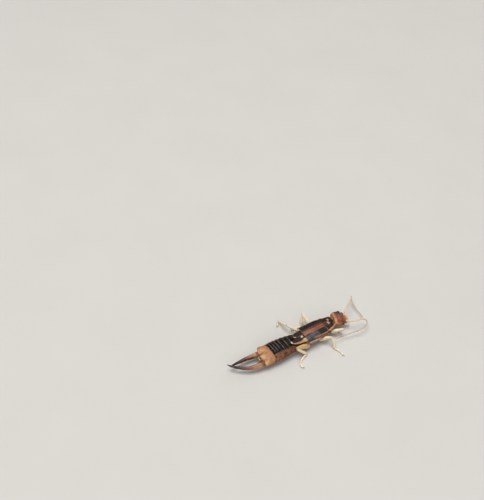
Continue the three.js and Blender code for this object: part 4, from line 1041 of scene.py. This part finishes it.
Pn = PRONOTUM
span = Pn["rear"] - Pn["front"]
t = np.concatenate([np.linspace(0, 0.08, 8), np.linspace(0.1, 0.9, 44), np.linspace(0.92, 1, 8)])
u = np.sin(np.linspace(-np.pi / 2, np.pi / 2, 91)) * 0.35 + np.linspace(-1, 1, 91) * 0.65
T, U = np.meshgrid(t, u, indexing="ij")
half = lerp(Pn["half_front"], Pn["half_rear"], T) * (1 - 0.13 * (1 - T) ** 6 - 0.05 * T ** 9) * (0.985 + 0.015 * np.sin(np.pi * T))
half = half * (1 - 0.1 * np.exp(-T / 0.02) - 0.08 * np.exp(-(1 - T) / 0.025))
X, Y = half * U, Pn["front"] + T * span
Y = Y + 0.05 * (1 - U * U) * T ** 4 * 1.2 + 0.07 * np.abs(U) ** 3 * (1 - T) ** 4 - 0.03 * bump(U, 0, 0.4) * (1 - T) ** 4
q = X / Pn["half_rear"]
Z = Pn["top"] - 0.15 * q ** 2 - 0.16 * np.abs(q) ** 6 - 0.1 * (1 - T) ** 2
lobes = bump(np.abs(U), 0.36, 0.26) * bump(T, 0.3, 0.2)
Z = Z + 0.085 * lobes - 0.05 * bump(T, 0.58, 0.07) * step(0.78, 0.6, np.abs(U)) - 0.035 * bump(U, 0, 0.03) * step(0.04, 0.1, T) * step(0.95, 0.7, T)
Z = Z + 0.06 * step(0.88, 1.0, np.abs(U)) - 0.05 * bump(np.abs(U), 0.8, 0.07) + 0.02 * bump(T, 0.02, 0.02)
Z = Z - 0.1 * step(0.3, 1, U) * bump(T, 0.5, 0.3)
X = X - 0.12 * step(0.2, 1, U) * bump(T, 0.52, 0.26)
a = math.radians(Pn["turn"])
yc = (Pn["front"] + Pn["rear"]) / 2
P = np.stack([X * math.cos(a) - (Y - yc) * math.sin(a) + Pn["middle"], X * math.sin(a) + (Y - yc) * math.cos(a) + yc, Z], -1)
form = Form()
thick = 0.09 + 0.2 * step(0.95, 0.7, np.abs(U)) * step(0.0, 0.1, T) * step(1.0, 0.9, T)
rim = np.maximum(step(0.9, 1.0, np.abs(U)), np.maximum(step(0.05, 0.0, T), step(0.96, 1.0, T)))
P, N = form.shell(P, thick, A(0, yc, 1.5), a=U, b=T, c=rim)
object_from(form, "pronotum_plate", [PRONOTUM_M], ["pronotum"])
hair = Form()
at, n, d = scatter(P, N, 46, keep=step(0.86, 0.95, np.abs(U)))
outward = np.stack([np.sign(at[:, 0] - Pn["middle"]), 0 * at[:, 0], 0.3 + 0 * at[:, 0]], -1)
hair.hairs(at, outward + 0.4 * d, rng.uniform(0.12, 0.24, len(at)), 0.009, A(0, 0, 0.05))
object_from(hair, "pronotum_bristles", [PALE_BRISTLE])


def wing_case(side):
    G = TEGMEN
    s = 1 if side == "left" else -1
    t = np.concatenate([np.linspace(0, 0.05, 6), np.linspace(0.07, 0.93, 60), np.linspace(0.95, 1, 6)])
    u = np.linspace(0, 1, 101)
    T, U = np.meshgrid(t, u, indexing="ij")
    ang = U * math.radians(84)
    half = G["half"] * (1 - 0.09 * (1 - T) ** 8) * (1 - 0.06 * T)
    top = math.sin(math.radians(84))
    X = s * lerp(0.02, half, np.sin(ang) / top)
    Z = G["top"] - 0.1 * (1 - T) ** 4 - G["drop"] * (1 - np.cos(ang)) ** 1.85
    y0 = G["front"] + 0.16 * step(0.75, 1.0, U) ** 2
    y1 = G["rear"] - 0.22 * U ** 2 - 0.1 * np.exp(-U / 0.05)
    Y = y0 + (y1 - y0) * T
    N0 = np.stack([s * np.sin(ang) ** 2.2, 0 * ang, np.cos(ang) ** 0.6], -1)
    N0 = unit(N0)
    ridge = 0.05 * bump(U, 0.66, 0.035) * step(0.02, 0.1, T) * step(0.99, 0.85, T) - 0.025 * bump(U, 0.56, 0.05) - 0.03 * bump(U, 0.74, 0.05)
    bead = 0.022 * bump(U, 0.025, 0.018) - 0.012 * bump(U, 0.07, 0.02)
    waves = 0.014 * np.sin(U * 17 + 3.0 * T) * step(0.08, 0.2, U) * step(0.55, 0.4, U) + 0.01 * np.sin(T * 11 + U * 5)
    lip = 0.03 * bump(U, 0.985, 0.02)
    P = np.stack([X, Y, Z], -1) + N0 * (ridge + bead + waves + lip)[..., None]
    form = Form()
    form.shell(P, 0.07, A(0, 0, 1.2), a=U, b=T)
    object_from(form, f"wing_case_{side}", [TEGMEN_M[side]], [f"tegmen_{side}"])
    hair = Form()
    N = grid_normals(P)
    if np.sum(N[..., 2]) < 0:
        N = -N
    at, n, d = scatter(P, N, 110, keep=0.25 + step(0.85, 0.95, U))
    hair.hairs(at, n * 0.35 + d * 0.65, rng.uniform(0.05, 0.1, len(at)), 0.007, 0 * n)
    object_from(hair, f"wing_case_{side}_bristles", [PALE_BRISTLE])


def wing_tip(side):
    G = WING_TIP
    s = 1 if side == "left" else -1
    start, rear = G["start"], G[side]
    t = np.concatenate([np.linspace(0, 0.9, 50), np.linspace(0.91, 0.998, 16)])
    u = np.linspace(0, 1, 61)
    T, U = np.meshgrid(t, u, indexing="ij")
    Y = start + T * (rear - start)
    tc = np.clip((Y - 2.33) / (rear - 2.33), 0, 1)
    wide = G["half"] * (1 - 0.12 * tc) * np.sqrt(np.maximum(0.0, 1 - (0.985 * tc) ** 5)) + 0.0
    tuck = 0.32 * tc ** 5
    X = s * lerp(0.012 + tuck, np.maximum(wide, tuck + 0.06), U)
    Z = G["top"] - 0.03 * (Y - 2.33) - G["drop"] * (np.abs(X) / G["half"]) ** 3
    fold = 0.03 * bump(U, 0.52, 0.03) * step(0.98, 0.8, T) - 0.03 * bump(U, 0.6, 0.05) + 0.02 * bump(U, 0.97, 0.03) + 0.018 * bump(U, 0.03, 0.02)
    P = np.stack([X, Y, Z + fold + 0.008 * np.sin(U * 30 + T * 3)], -1)
    form = Form()
    form.shell(P, lerp(0.3, 0.12, step(0.3, 1.0, tc)), A(0, 3, 0.5), a=U, b=tc)
    object_from(form, f"folded_wing_{side}", [TIP_M[side]], [f"wing_tip_{side}"])


for side in ("left", "right"):
    wing_case(side)
    wing_tip(side)

# ---------------------------------------------------------------- head

hx, hy, hz = (math.radians(HEAD[k]) for k in ("pitch", "roll", "yaw"))
HEAD_TURN = np.array(Matrix.Rotation(hz, 3, "Z") @ Matrix.Rotation(hy, 3, "Y") @ Matrix.Rotation(hx, 3, "X"))


def on_head(p):
    """Head numbers (to its left, ahead, up) to trunk coordinates."""
    p = np.asarray(p, float) * A(1, -1, 1)
    return p @ HEAD_TURN.T + A(*HEAD["at"])


def head_ring(F, TH, grow=0.0):
    R = rows(HEAD_ROWS, F.ravel()).reshape(*F.shape, 4)
    s, c = np.sin(TH), np.cos(TH)
    x = (R[..., 0] + grow) * spow(c, 2 / 2.35)
    z = R[..., 1] + (np.where(s > 0, R[..., 2], R[..., 3]) + grow) * spow(s, 2 / 2.35)
    return x, z


f = np.concatenate([0.2 * (1 - np.cos(np.linspace(0.05, np.pi / 2, 10))), np.linspace(0.22, 2.86, 96), 3.0 - 0.13 * (1 - np.cos(np.linspace(np.pi / 2, 0.05, 8)))])
cap = np.concatenate([np.sin(np.linspace(0.05, np.pi / 2, 10)), np.ones(96), np.sin(np.linspace(np.pi / 2, 0.05, 8))])
th = np.linspace(0, 2 * np.pi, 192, endpoint=False)
F, TH = np.meshgrid(f, th, indexing="ij")
x, z = head_ring(F, TH)
mid = rows(HEAD_ROWS, F.ravel()).reshape(*F.shape, 4)[..., 1]
x, z = x * cap[:, None], mid + (z - mid) * cap[:, None]
S = np.sin(TH)
up = step(0.05, 0.35, S)
crown = bump(x, 0, 0.035) * step(1.42, 1.32, F) * step(0.0, 0.08, F)
arms = bump(np.abs(x) - 0.95 * (F - 1.36), 0, 0.045) * step(1.34, 1.42, F) * step(2.3, 2.2, F)
suture = np.clip(crown + arms, 0, 1) * up
dz = -0.03 * suture + up * (0.05 * bump(np.abs(x), 0.62, 0.42) * bump(F, 0.75, 0.45) - 0.05 * bump(np.abs(x), 0.5, 0.26) * bump(F, 2.3, 0.25)
                            - 0.03 * bump(F, 2.72, 0.05) * step(0.9, 0.7, np.abs(x)) + 0.02 * bump(x, 0, 0.35) * bump(F, 2.05, 0.3))
dz += -0.05 * up * bump(F, 0.1, 0.05)
low = step(-0.05, -0.35, S)
dz += low * (0.05 * bump(np.abs(x), 0.42, 0.06) * step(0.3, 0.6, F) * step(2.4, 2.0, F) + 0.03 * bump(x, 0, 0.04) * step(1.6, 1.3, F))
Fy = F + 0.13 * bump(x, 0, 0.5) * np.exp(-F / 0.3) * step(-0.2, 0.3, S)
cheek = 1 + 0.02 * np.sin(F * 3.0) - 0.03 * bump(F, 2.02, 0.42) * bump(z, 0.12, 0.3) * 1.5
P = on_head(np.stack([x * cheek, Fy, z + dz], -1))
form = Form()
form.loft(P, a=x, b=F, c=suture, d=S)
for s in (1, -1):                                                # raised ring round each feeler's socket
    c = on_head(A(s * 0.84, 2.5, 0.14))
    ax = unit(on_head(A(s * 1.3, 3.2, 0.22)) - on_head(A(s * 0.84, 2.5, 0.14)))
    p = unit(np.cross(ax, A(0, 0, 1)))
    w = np.cross(ax, p)
    uu, vv = np.meshgrid(np.linspace(0, 2 * np.pi, 40, endpoint=False), np.linspace(0, 2 * np.pi, 12, endpoint=False), indexing="ij")
    rr = 0.235 + 0.05 * np.cos(vv)
    Q = c + ax * (0.1 + 0.06 * np.sin(vv))[..., None] + p * (rr * np.cos(uu))[..., None] + w * (rr * np.sin(uu))[..., None]
    i, j = np.arange(40)[:, None], np.arange(12)[None]
    quads = np.stack([i * 12 + j, i * 12 + (j + 1) % 12, (i + 1) % 40 * 12 + (j + 1) % 12, (i + 1) % 40 * 12 + j], -1).reshape(-1, 4)
    form.add(Q, quads, a=s * 0.84, b=2.4, c=0.35, d=0.4)
object_from(form, "head_capsule", [HEAD_M], ["head"])
hair = Form()
N = grid_normals(P, True)
at, n, d = scatter(P, N, 150, keep=step(0.3, 0.6, F) * step(2.95, 2.8, F) * (np.hypot((np.abs(x) - 1.42) / 0.3, (F - 2.02) / 0.5) > 1))
hair.hairs(at, n * 0.7 + d * 0.3 + rng.normal(size=at.shape) * 0.15, rng.uniform(0.08, 0.2, len(at)), 0.008, 0 * n)
object_from(hair, "head_bristles", [PALE_BRISTLE])

# eyes, each with a low rim
for side, s in (("left", 1), ("right", -1)):
    uu, vv = np.meshgrid(np.linspace(0.03, np.pi - 0.03, 60), np.linspace(0, 2 * np.pi, 72, endpoint=False), indexing="ij")
    e = np.stack([s * EYE["side"] + EYE["r"][0] * np.cos(uu) * 1.0, EYE["ahead"] + EYE["r"][1] * np.sin(uu) * np.cos(vv), EYE["up"] + EYE["r"][2] * np.sin(uu) * np.sin(vv)], -1)
    form = Form()
    form.loft(on_head(e), a=np.cos(uu))
    object_from(form, f"eye_{side}_ball", [EYE_M], [f"eye_{side}"])
    form = Form()
    uu, vv = np.meshgrid(np.linspace(0, 2 * np.pi, 72, endpoint=False), np.linspace(0, 2 * np.pi, 10, endpoint=False), indexing="ij")
    k = 1.03 + 0.07 * np.cos(vv)
    sx = s * (EYE["side"] + 0.035 + 0.035 * np.sin(vv)) - s * 0.05 * np.cos(uu) ** 2
    e = np.stack([sx, EYE["ahead"] + EYE["r"][1] * k * np.cos(uu), EYE["up"] + EYE["r"][2] * k * np.sin(uu)], -1)
    i, j = np.arange(72)[:, None], np.arange(10)[None]
    quads = np.stack([i * 10 + j, i * 10 + (j + 1) % 10, (i + 1) % 72 * 10 + (j + 1) % 10, (i + 1) % 72 * 10 + j], -1).reshape(-1, 4)
    form.add(on_head(e), quads, a=s * 1.2, b=1.0, c=0.2, d=0.3)
    object_from(form, f"eye_{side}_rim", [HEAD_M])

# upper lip, bristly towards its front edge
t = np.linspace(0, 1, 34)
u = np.linspace(-1, 1, 49)
T, U = np.meshgrid(t, u, indexing="ij")
FA = lerp(2.86, 3.72, T) - 0.05 * bump(U, 0, 0.18) * T ** 4
HW = np.interp(T, [0, 0.2, 0.5, 0.8, 1], [0.6, 0.6, 0.56, 0.46, 0.3]) * (1 - 0.18 * np.exp(-(1 - T) / 0.05))
ZZ = 0.04 - 0.16 * (FA - 2.98) - 0.09 * U ** 2 + 0.03 * bump(T, 0.45, 0.3) - 0.03 * bump(T, 0.2, 0.06) - 0.12 * T ** 3
P = on_head(np.stack([HW * U, FA, ZZ], -1))
form = Form()
P, N = form.shell(P, 0.13, on_head(A(0, 3.1, -0.8)), a=T, b=U)
object_from(form, "upper_lip", [LIP_M], ["labrum"])
hair = Form()
at, n, d = scatter(P, N, 60, keep=step(0.55, 0.95, T))
hair.hairs(at, d * 0.8 + n * 0.2, rng.uniform(0.08, 0.18, len(at)), 0.008, -0.2 * n)
object_from(hair, "upper_lip_bristles", [PALE_BRISTLE])


def limb(form, points, wide, deep, n=30, cols=24, caps=(0.08, 0.08), start=None, normal=None, mat=0, section=None, a=None, b=None):
    """A tapered limb along points. wide(t) lies along the normal-cross direction, deep(t) across it."""
    c, s = curve(points)
    st, f = stations(n, *caps)
    C = along(c, s, st)
    if normal is not None:
        d = unit(np.gradient(C, axis=0))
        u = unit(np.cross(normal, d))
        w = np.cross(d, u)
    else:
        d, u, w = carried(C, A(*(start or (0, 0, 1))))
    th = np.linspace(0, 2 * np.pi, cols, endpoint=False)
    TT, TH = np.meshgrid(st, th, indexing="ij")
    k = section(TT, TH) if section else 1.0
    ru, rw = (wide(TT) * f[:, None]) * k, (deep(TT) * f[:, None]) * k
    P = C[:, None] + u[:, None] * (ru * np.cos(TH))[..., None] + w[:, None] * (rw * np.sin(TH))[..., None]
    form.loft(P, mat=mat, a=TT if a is None else a(TT), b=np.sin(TH) if b is None else b(TT, TH))
    return P, TT, TH


# jaws: curved, toothed and dark at the tip
for side, s in (("left", 1), ("right", -1)):
    form = Form()
    pts = on_head([[s * x, f, z] for x, f, z in [(0.66, 2.4, -0.44), (0.72, 2.95, -0.46), (0.56, 3.34, -0.45), (0.2, 3.55, -0.44)]])
    limb(form, pts, lambda t: lerp(0.3, 0.1, t ** 1.5), lambda t: lerp(0.2, 0.09, t), n=40, cols=32, caps=(0.1, 0.05), normal=HEAD_TURN @ A(0, 0, 1),
         section=lambda t, th: 1 + 0.25 * np.maximum(0, -s * np.cos(th)) ** 6 * (bump(t, 0.72, 0.04) + bump(t, 0.85, 0.035)))
    object_from(form, f"jaw_{side}", [MOUTH_M], [f"mandible_{side}"])

# lower lip and its small palps
form = Form()
pts = on_head([(0, 1.3, -0.6), (0, 2.1, -0.7), (0, 2.7, -0.74), (0, 3.1, -0.72)])
limb(form, pts, lambda t: 0.44 - 0.12 * t, lambda t: 0.13 - 0.02 * t, n=40, cols=40, caps=(0.15, 0.12), normal=HEAD_TURN @ A(0, 0, 1),
     section=lambda t, th: 1 - 0.1 * bump(t, 0.55, 0.03) - 0.12 * bump(np.cos(th), 0, 0.12) * step(0.6, 0.9, t), a=lambda t: t * 0.5)
for s in (1, -1):
    p = [(s * 0.3, 2.6, -0.78), (s * 0.44, 2.85, -0.86), (s * 0.5, 3.12, -0.86), (s * 0.46, 3.4, -0.84)]
    for i in range(3):
        limb(form, on_head(p[i:i + 2]), lambda t: 0.075 + 0.015 * t, lambda t: 0.075 + 0.015 * t, n=8, cols=16, caps=(0.25, 0.25), a=lambda t: 0 * t + 0.1)
object_from(form, "lower_lip", [MOUTH_M], ["labium"])

# long palps, of five joints
for side, s in (("left", 1), ("right", -1)):
    form, hair = Form(), Form()
    c, ss = curve(on_head([(s * 0.8, 2.15, -0.54), (s * 1.08, 2.66, -0.64), (s * 1.22, 3.16, -0.64), (s * 1.12, 3.78, -0.74)]))
    cuts = [0.0, 0.1, 0.22, 0.5, 0.74, 1.0]
    for i in range(5):
        pts = along(c, ss, np.linspace(cuts[i] + 0.004, cuts[i + 1], 4))
        r0, r1 = [(0.12, 0.14), (0.12, 0.15), (0.12, 0.17), (0.13, 0.18), (0.14, 0.13)][i]
        P, TT, TH = limb(form, pts, lambda t: lerp(r0, r1, t), lambda t: lerp(r0, r1, t) * 0.94, n=14, cols=20, caps=(0.18, 0.18), a=lambda t: 0.1 + 0.05 * i + 0 * t, b=lambda t, th: t)
        at, n, d = scatter(P, grid_normals(P, True), 12 + 5 * i)
        hair.hairs(at, n * 0.5 + d * 0.5, rng.uniform(0.06, 0.12, len(at)), 0.007, 0 * n)
    object_from(form, f"palp_{side}_joints", [FOOT_M], [f"palp_{side}"])
    object_from(hair, f"palp_{side}_bristles", [PALE_BRISTLE])

# ---------------------------------------------------------------- feelers


def feeler(side):
    s = 1 if side == "left" else -1
    foot = on_head(A(s * ANTENNA_FOOT[0], ANTENNA_FOOT[1] - 0.04, ANTENNA_FOOT[2]))
    first = A(*ANTENNAE[side][0])
    form, hair = Form(), Form()
    axis = unit(first - foot)
    P, TT, TH = limb(form, [foot, (foot + first) / 2, first], lambda t: 0.12 + 0.085 * step(0.05, 0.55, t) - 0.03 * step(0.85, 1.0, t),
                     lambda t: 0.12 + 0.085 * step(0.05, 0.55, t) - 0.03 * step(0.85, 1.0, t), n=26, cols=28, caps=(0.08, 0.1), a=lambda t: 0 * t, b=lambda t, th: t)
    at, n, d = scatter(P, grid_normals(P, True), 40)
    hair.hairs(at, n * 0.5 + d * 0.5, rng.uniform(0.07, 0.13, len(at)), 0.007, 0 * n)
    c, ss = curve(ANTENNAE[side])
    size = [0.17, 0.44, 0.24, 0.25, 0.27] + [lerp(0.3, 0.5, step(0, 10, k)) - 0.1 * step(14, 26, k) for k in range(23)]
    edge = np.concatenate([[0], np.cumsum(size)])
    edge = edge / edge[-1]
    count = len(size)
    fine = np.linspace(0, 1, 1400)
    C = along(c, ss, fine)
    d, u, w = carried(C, A(0, 0, 1))
    th = np.linspace(0, 2 * np.pi, 20, endpoint=False)
    for i in range(count):
        e0, e1 = edge[i], edge[i + 1]
        st, f = stations(9, 0.1, 0.12, 4)
        t = e0 + (e1 - e0) * (st * 1.0)
        k = np.clip((t * 1399).astype(int), 0, 1399)
        cc = np.stack([np.interp(t, fine, C[:, j]) for j in range(3)], -1)
        R = lerp(0.165, 0.098, (e0 + e1) / 2) * (0.9 if i == 0 else 1.0)
        prof = np.interp(st, [0, 0.08, 0.45, 0.85, 1.0], [0.66, 0.74, 0.92, 1.0, 0.86]) * f * R
        P = cc[:, None] + u[k][:, None] * (prof[:, None] * np.cos(th))[..., None] + w[k][:, None] * (prof[:, None] * np.sin(th))[..., None]
        form.loft(P, a=np.broadcast_to(t[:, None], P.shape[:2]), b=np.broadcast_to(st[:, None], P.shape[:2]))
        at, n, dd = scatter(P, grid_normals(P, True), 12)
        hair.hairs(at, n * 0.45 + dd * 0.55, rng.uniform(0.06, 0.11, len(at)), 0.006, 0 * n)
    object_from(form, f"feeler_{side}", [FEELER_M], [f"antenna_{side}_scape"] + [f"antenna_{side}_flagellum_{k}" for k in (1, 2, 3)])
    object_from(hair, f"feeler_{side}_bristles", [PALE_BRISTLE])


for side in ("left", "right"):
    feeler(side)

# ---------------------------------------------------------------- legs


def leg(name, spec):
    hip, troch, knee, ankle = (A(*p) for p in spec["path"])
    foot = [A(*p) for p in spec["foot"]]
    normal = unit(np.cross(knee - troch, ankle - knee))
    F = spec["femur"]
    hind = name == "hindleg_right"
    hair = Form()
    # hip
    form = Form()
    limb(form, [hip + A(0, 0, 0.12) - unit(troch - hip) * 0.25, (hip + troch) / 2, troch - unit(troch - hip) * 0.02], lambda t: lerp(0.42, 0.27, t), lambda t: lerp(0.4, 0.25, t),
         n=24, cols=36, caps=(0.1, 0.18), normal=A(0, 0, 1), section=lambda t, th: 1 - 0.06 * bump(t, 0.75, 0.04), a=lambda t: 0.05 + 0.3 * t)
    ball = unit(knee - troch)
    limb(form, [troch - ball * 0.3, troch, troch + ball * 0.2], lambda t: 0.27 + 0 * t, lambda t: 0.25 + 0 * t, n=12, cols=32, caps=(0.4, 0.4), normal=normal, a=lambda t: 0.3 + 0 * t)
    object_from(form, f"{name}_hip", [CHEST_M if not hind else CHEST_M])
    # thigh
    belly = (troch + knee) / 2 + A(0, 0, 0.06)
    end = knee + unit(knee - belly) * 0.14

    def wide(t):
        w = F * (0.62 + 0.38 * np.sin(np.pi * np.minimum(1, 0.16 + t * 0.95)) ** 0.8) * (1 - 0.22 * t)
        return w * (1 - 0.12 * bump(t, 0.93, 0.05)) * 0.98

    form = Form()
    P, TT, TH = limb(form, [troch, belly, end], wide, lambda t: np.maximum(0.19, 0.76 * wide(t)), n=56, cols=44, caps=(0.07, 0.07), normal=normal,
                     section=lambda t, th: 1 - 0.035 * bump(np.sin(th), 0.0, 0.18) * step(0.1, 0.3, t) - 0.1 * np.maximum(0, -np.cos(th)) ** 6 * step(0.6, 0.95, t))
    object_from(form, f"{name}_thigh", [HIND_FEMUR_M if hind else FEMUR_M], [f"{name}_femur"])
    at, n, d = scatter(P, grid_normals(P, True), 150, keep=step(0.08, 0.2, TT))
    hair.hairs(at, n * 0.4 + d * 0.6, rng.uniform(0.08, 0.15, len(at)), 0.008, 0 * n)
    # shin
    bow = (knee + ankle) / 2 - unit(np.cross(normal, ankle - knee)) * 0.05
    down = unit(ankle - knee)
    form = Form()
    long_ = np.linalg.norm(ankle - knee)
    P, TT, TH = limb(form, [knee - down * 0.04, bow, ankle + down * 0.05], lambda t: (0.31 if hind else 0.262) - 0.055 * bump(t, 0.1, 0.07) - 0.035 * t + 0.02 * bump(t, 0.95, 0.07),
                     lambda t: (0.22 if hind else 0.195) - 0.03 * bump(t, 0.1, 0.07) - 0.02 * t + 0.015 * bump(t, 0.95, 0.07), n=44, cols=32, caps=(0.1, 0.1), normal=normal)
    object_from(form, f"{name}_shin", [SHIN_M], [f"{name}_tibia"])
    N = grid_normals(P, True)
    at, n, d = scatter(P, N, 150, keep=step(0.08, 0.2, TT))
    hair.hairs(at, n * 0.4 + d * 0.6, rng.uniform(0.1, 0.19, len(at)), 0.0085, 0 * n)
    at, n, d = scatter(P, N, 12, keep=bump(TT, 0.95, 0.02))
    hair.hairs(at, n * 0.4 + d * 0.8, rng.uniform(0.16, 0.22, len(at)), 0.014, 0 * n)
    # foot of three joints, lying on the floor
    q = 1.18 if hind else 1.06
    r = 0.185 * q
    low = [np.append(p[:2], z) for p, z in zip(foot, (r + 0.01, r - 0.012, r - 0.004))]
    start = ankle + down * 0.02
    c, ss = curve([start, *low])
    form = Form()
    cuts = [0.0, 0.54, 0.64, 1.0]
    for i, (r0, r1) in enumerate(((0.165 * q, 0.185 * q), (0.14 * q, 0.19 * q), (0.12 * q, 0.17 * q))):
        pts = along(c, ss, np.linspace(cuts[i], cuts[i + 1], 5))
        P, TT, TH = limb(form, pts, lambda t: lerp(r0, r1, t), lambda t: lerp(r0, r1, t) * 0.92, n=20, cols=24, caps=(0.16, 0.14), start=(0, 0, 1), a=lambda t: lerp(cuts[i], cuts[i + 1], t) * 0.8 + 0.12, b=lambda t, th: 0 * t)
        P[..., 2] = np.maximum(P[..., 2], 0.0)
        form.v[-1][:, 2] = np.maximum(form.v[-1][:, 2], 0.0)
        at, n, d = scatter(P, grid_normals(P, True), (60, 14, 40)[i])
        way = n * 0.4 + d * 0.6
        way[:, 2] = np.maximum(way[:, 2], -0.12)
        hair.hairs(at, way, rng.uniform(0.07, 0.14, len(at)), 0.008, 0 * n)
    toe, run = along(c, ss, [1.0])[0], along(c, ss, [1.0])[0] - along(c, ss, [0.9])[0]
    run[2] = 0
    run = unit(run)
    across = np.cross(A(0, 0, 1), run)
    for s in (1, -1):
        base = toe - run * 0.03 + across * s * 0.04
        pts = [base, base + run * 0.15 + across * s * 0.1 + A(0, 0, 0.03), base + run * 0.3 + across * s * 0.15 - A(0, 0, 0.02), base + run * 0.36 + across * s * 0.15 - A(0, 0, 0.09)]
        limb(form, pts, lambda t: lerp(0.05, 0.008, t), lambda t: lerp(0.05, 0.008, t), n=16, cols=12, caps=(0.1, 0.04), mat=1, a=lambda t: 0.2 + 0.7 * t)
    object_from(form, f"{name}_foot", [FOOT_M, CLAW_M], [f"{name}_tarsus"])
    for k in range(len(hair.v)):
        hair.v[k][:, 2] = np.maximum(hair.v[k][:, 2], 0.0)
    object_from(hair, f"{name}_bristles", [PALE_BRISTLE])


for name, spec in LEGS.items():
    leg(name, spec)

# ---------------------------------------------------------------- floor, light and camera


def floor_look():
    L = Look("floor_paper")
    co = L.node("ShaderNodeTexCoord").outputs["Object"]
    c = L.mix(L.noise(60.0, 4.0, 0.6, vec=co), colour(203, 200, 195), colour(210, 207, 202))
    return L.done(c, 0.85, L.relief(L.noise(900.0, 3.0, 0.6, vec=co), 0.02))


me = bpy.data.meshes.new("floor")
g = 1.6
me.from_pydata([(-g, -g, 0), (g, -g, 0), (g, g, 0), (-g, g, 0)], [], [(0, 1, 2, 3)])
floor = bpy.data.objects.new("floor", me)
bpy.context.scene.collection.objects.link(floor)
me.materials.append(floor_look())
floor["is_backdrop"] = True


def area_light(name, place, size, power, tint=(1, 1, 1), aim=(0, 0, 0.001)):
    d = bpy.data.lights.new(name, "AREA")
    d.shape, d.size, d.energy, d.color = "DISK", size, power, tint
    o = bpy.data.objects.new(name, d)
    bpy.context.scene.collection.objects.link(o)
    p, q = A(*place), A(*aim)
    z = unit(p - q)
    x = unit(np.cross(A(0, 1, 0.01), z))
    y = np.cross(z, x)
    m = Matrix([[x[0], y[0], z[0], p[0]], [x[1], y[1], z[1], p[1]], [x[2], y[2], z[2], p[2]], [0, 0, 0, 1]])
    o.matrix_world = m
    return o


# camera: looks down at about 45 degrees on the animal's right side, a little rolled
CAMERA = dict(height=132.315, focus=900.0, frame=(484, 500), up=(0.0909, -0.7043, -0.7043), heading=39.5, anchor=(312.5, 328.9, 2.75), anchor_x=0.2)
U3 = unit(A(*CAMERA["up"]))
ahead3 = unit(A(0, 0, 1) - U3[2] * U3)
right3 = np.cross(ahead3, U3)
ray = A((CAMERA["anchor"][0] - 242) / 900.0, (CAMERA["anchor"][1] - 250) / 900.0, 1.0)
hit = ray * (CAMERA["anchor"][2] - CAMERA["height"]) / (U3 @ ray)
ground = A(hit @ right3, hit @ ahead3)
h = math.radians(CAMERA["heading"])
heading, left = A(math.cos(h), math.sin(h)), A(-math.sin(h), math.cos(h))


def to_trunk(right, ahead, up):
    g = A(right, ahead)
    return A(left @ g, -(heading @ g), up)


eye = to_trunk(-ground[0], -ground[1], CAMERA["height"]) + A(CAMERA["anchor_x"], 0, 0)
cam_x = to_trunk(right3[0], ahead3[0], U3[0])
cam_down = to_trunk(right3[1], ahead3[1], U3[1])
cam_look = to_trunk(right3[2], ahead3[2], U3[2])
cd = bpy.data.cameras.new("camera")
cam = bpy.data.objects.new("camera", cd)
bpy.context.scene.collection.objects.link(cam)
cd.sensor_width, cd.sensor_fit, cd.lens = 36.0, "AUTO", 36.0 * CAMERA["focus"] / 500.0
cd.clip_start, cd.clip_end = 0.005, 10.0
e = (eye - CENTRE) * 0.001
m = Matrix([[cam_x[0], -cam_down[0], -cam_look[0], e[0]], [cam_x[1], -cam_down[1], -cam_look[1], e[1]], [cam_x[2], -cam_down[2], -cam_look[2], e[2]], [0, 0, 0, 1]])
cam.matrix_world = m
bpy.context.scene.camera = cam

area_light("sky_soft", (0.05, 0.1, 0.55), 0.42, 2.7, (1.0, 0.99, 0.97))
area_light("side_soft", (-0.45, 0.12, 0.28), 0.35, 0.7, (0.94, 0.97, 1.0))
area_light("front_soft", (0.12, -0.45, 0.25), 0.35, 0.5, (1.0, 0.97, 0.93))
world = bpy.data.worlds.new("studio")
world.use_nodes = True
bg = world.node_tree.nodes["Background"]
bg.inputs[0].default_value = colour(226, 228, 232)
bg.inputs[1].default_value = 0.28
bpy.context.scene.world = world
bpy.context.scene.view_settings.view_transform = "Standard"

low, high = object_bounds()
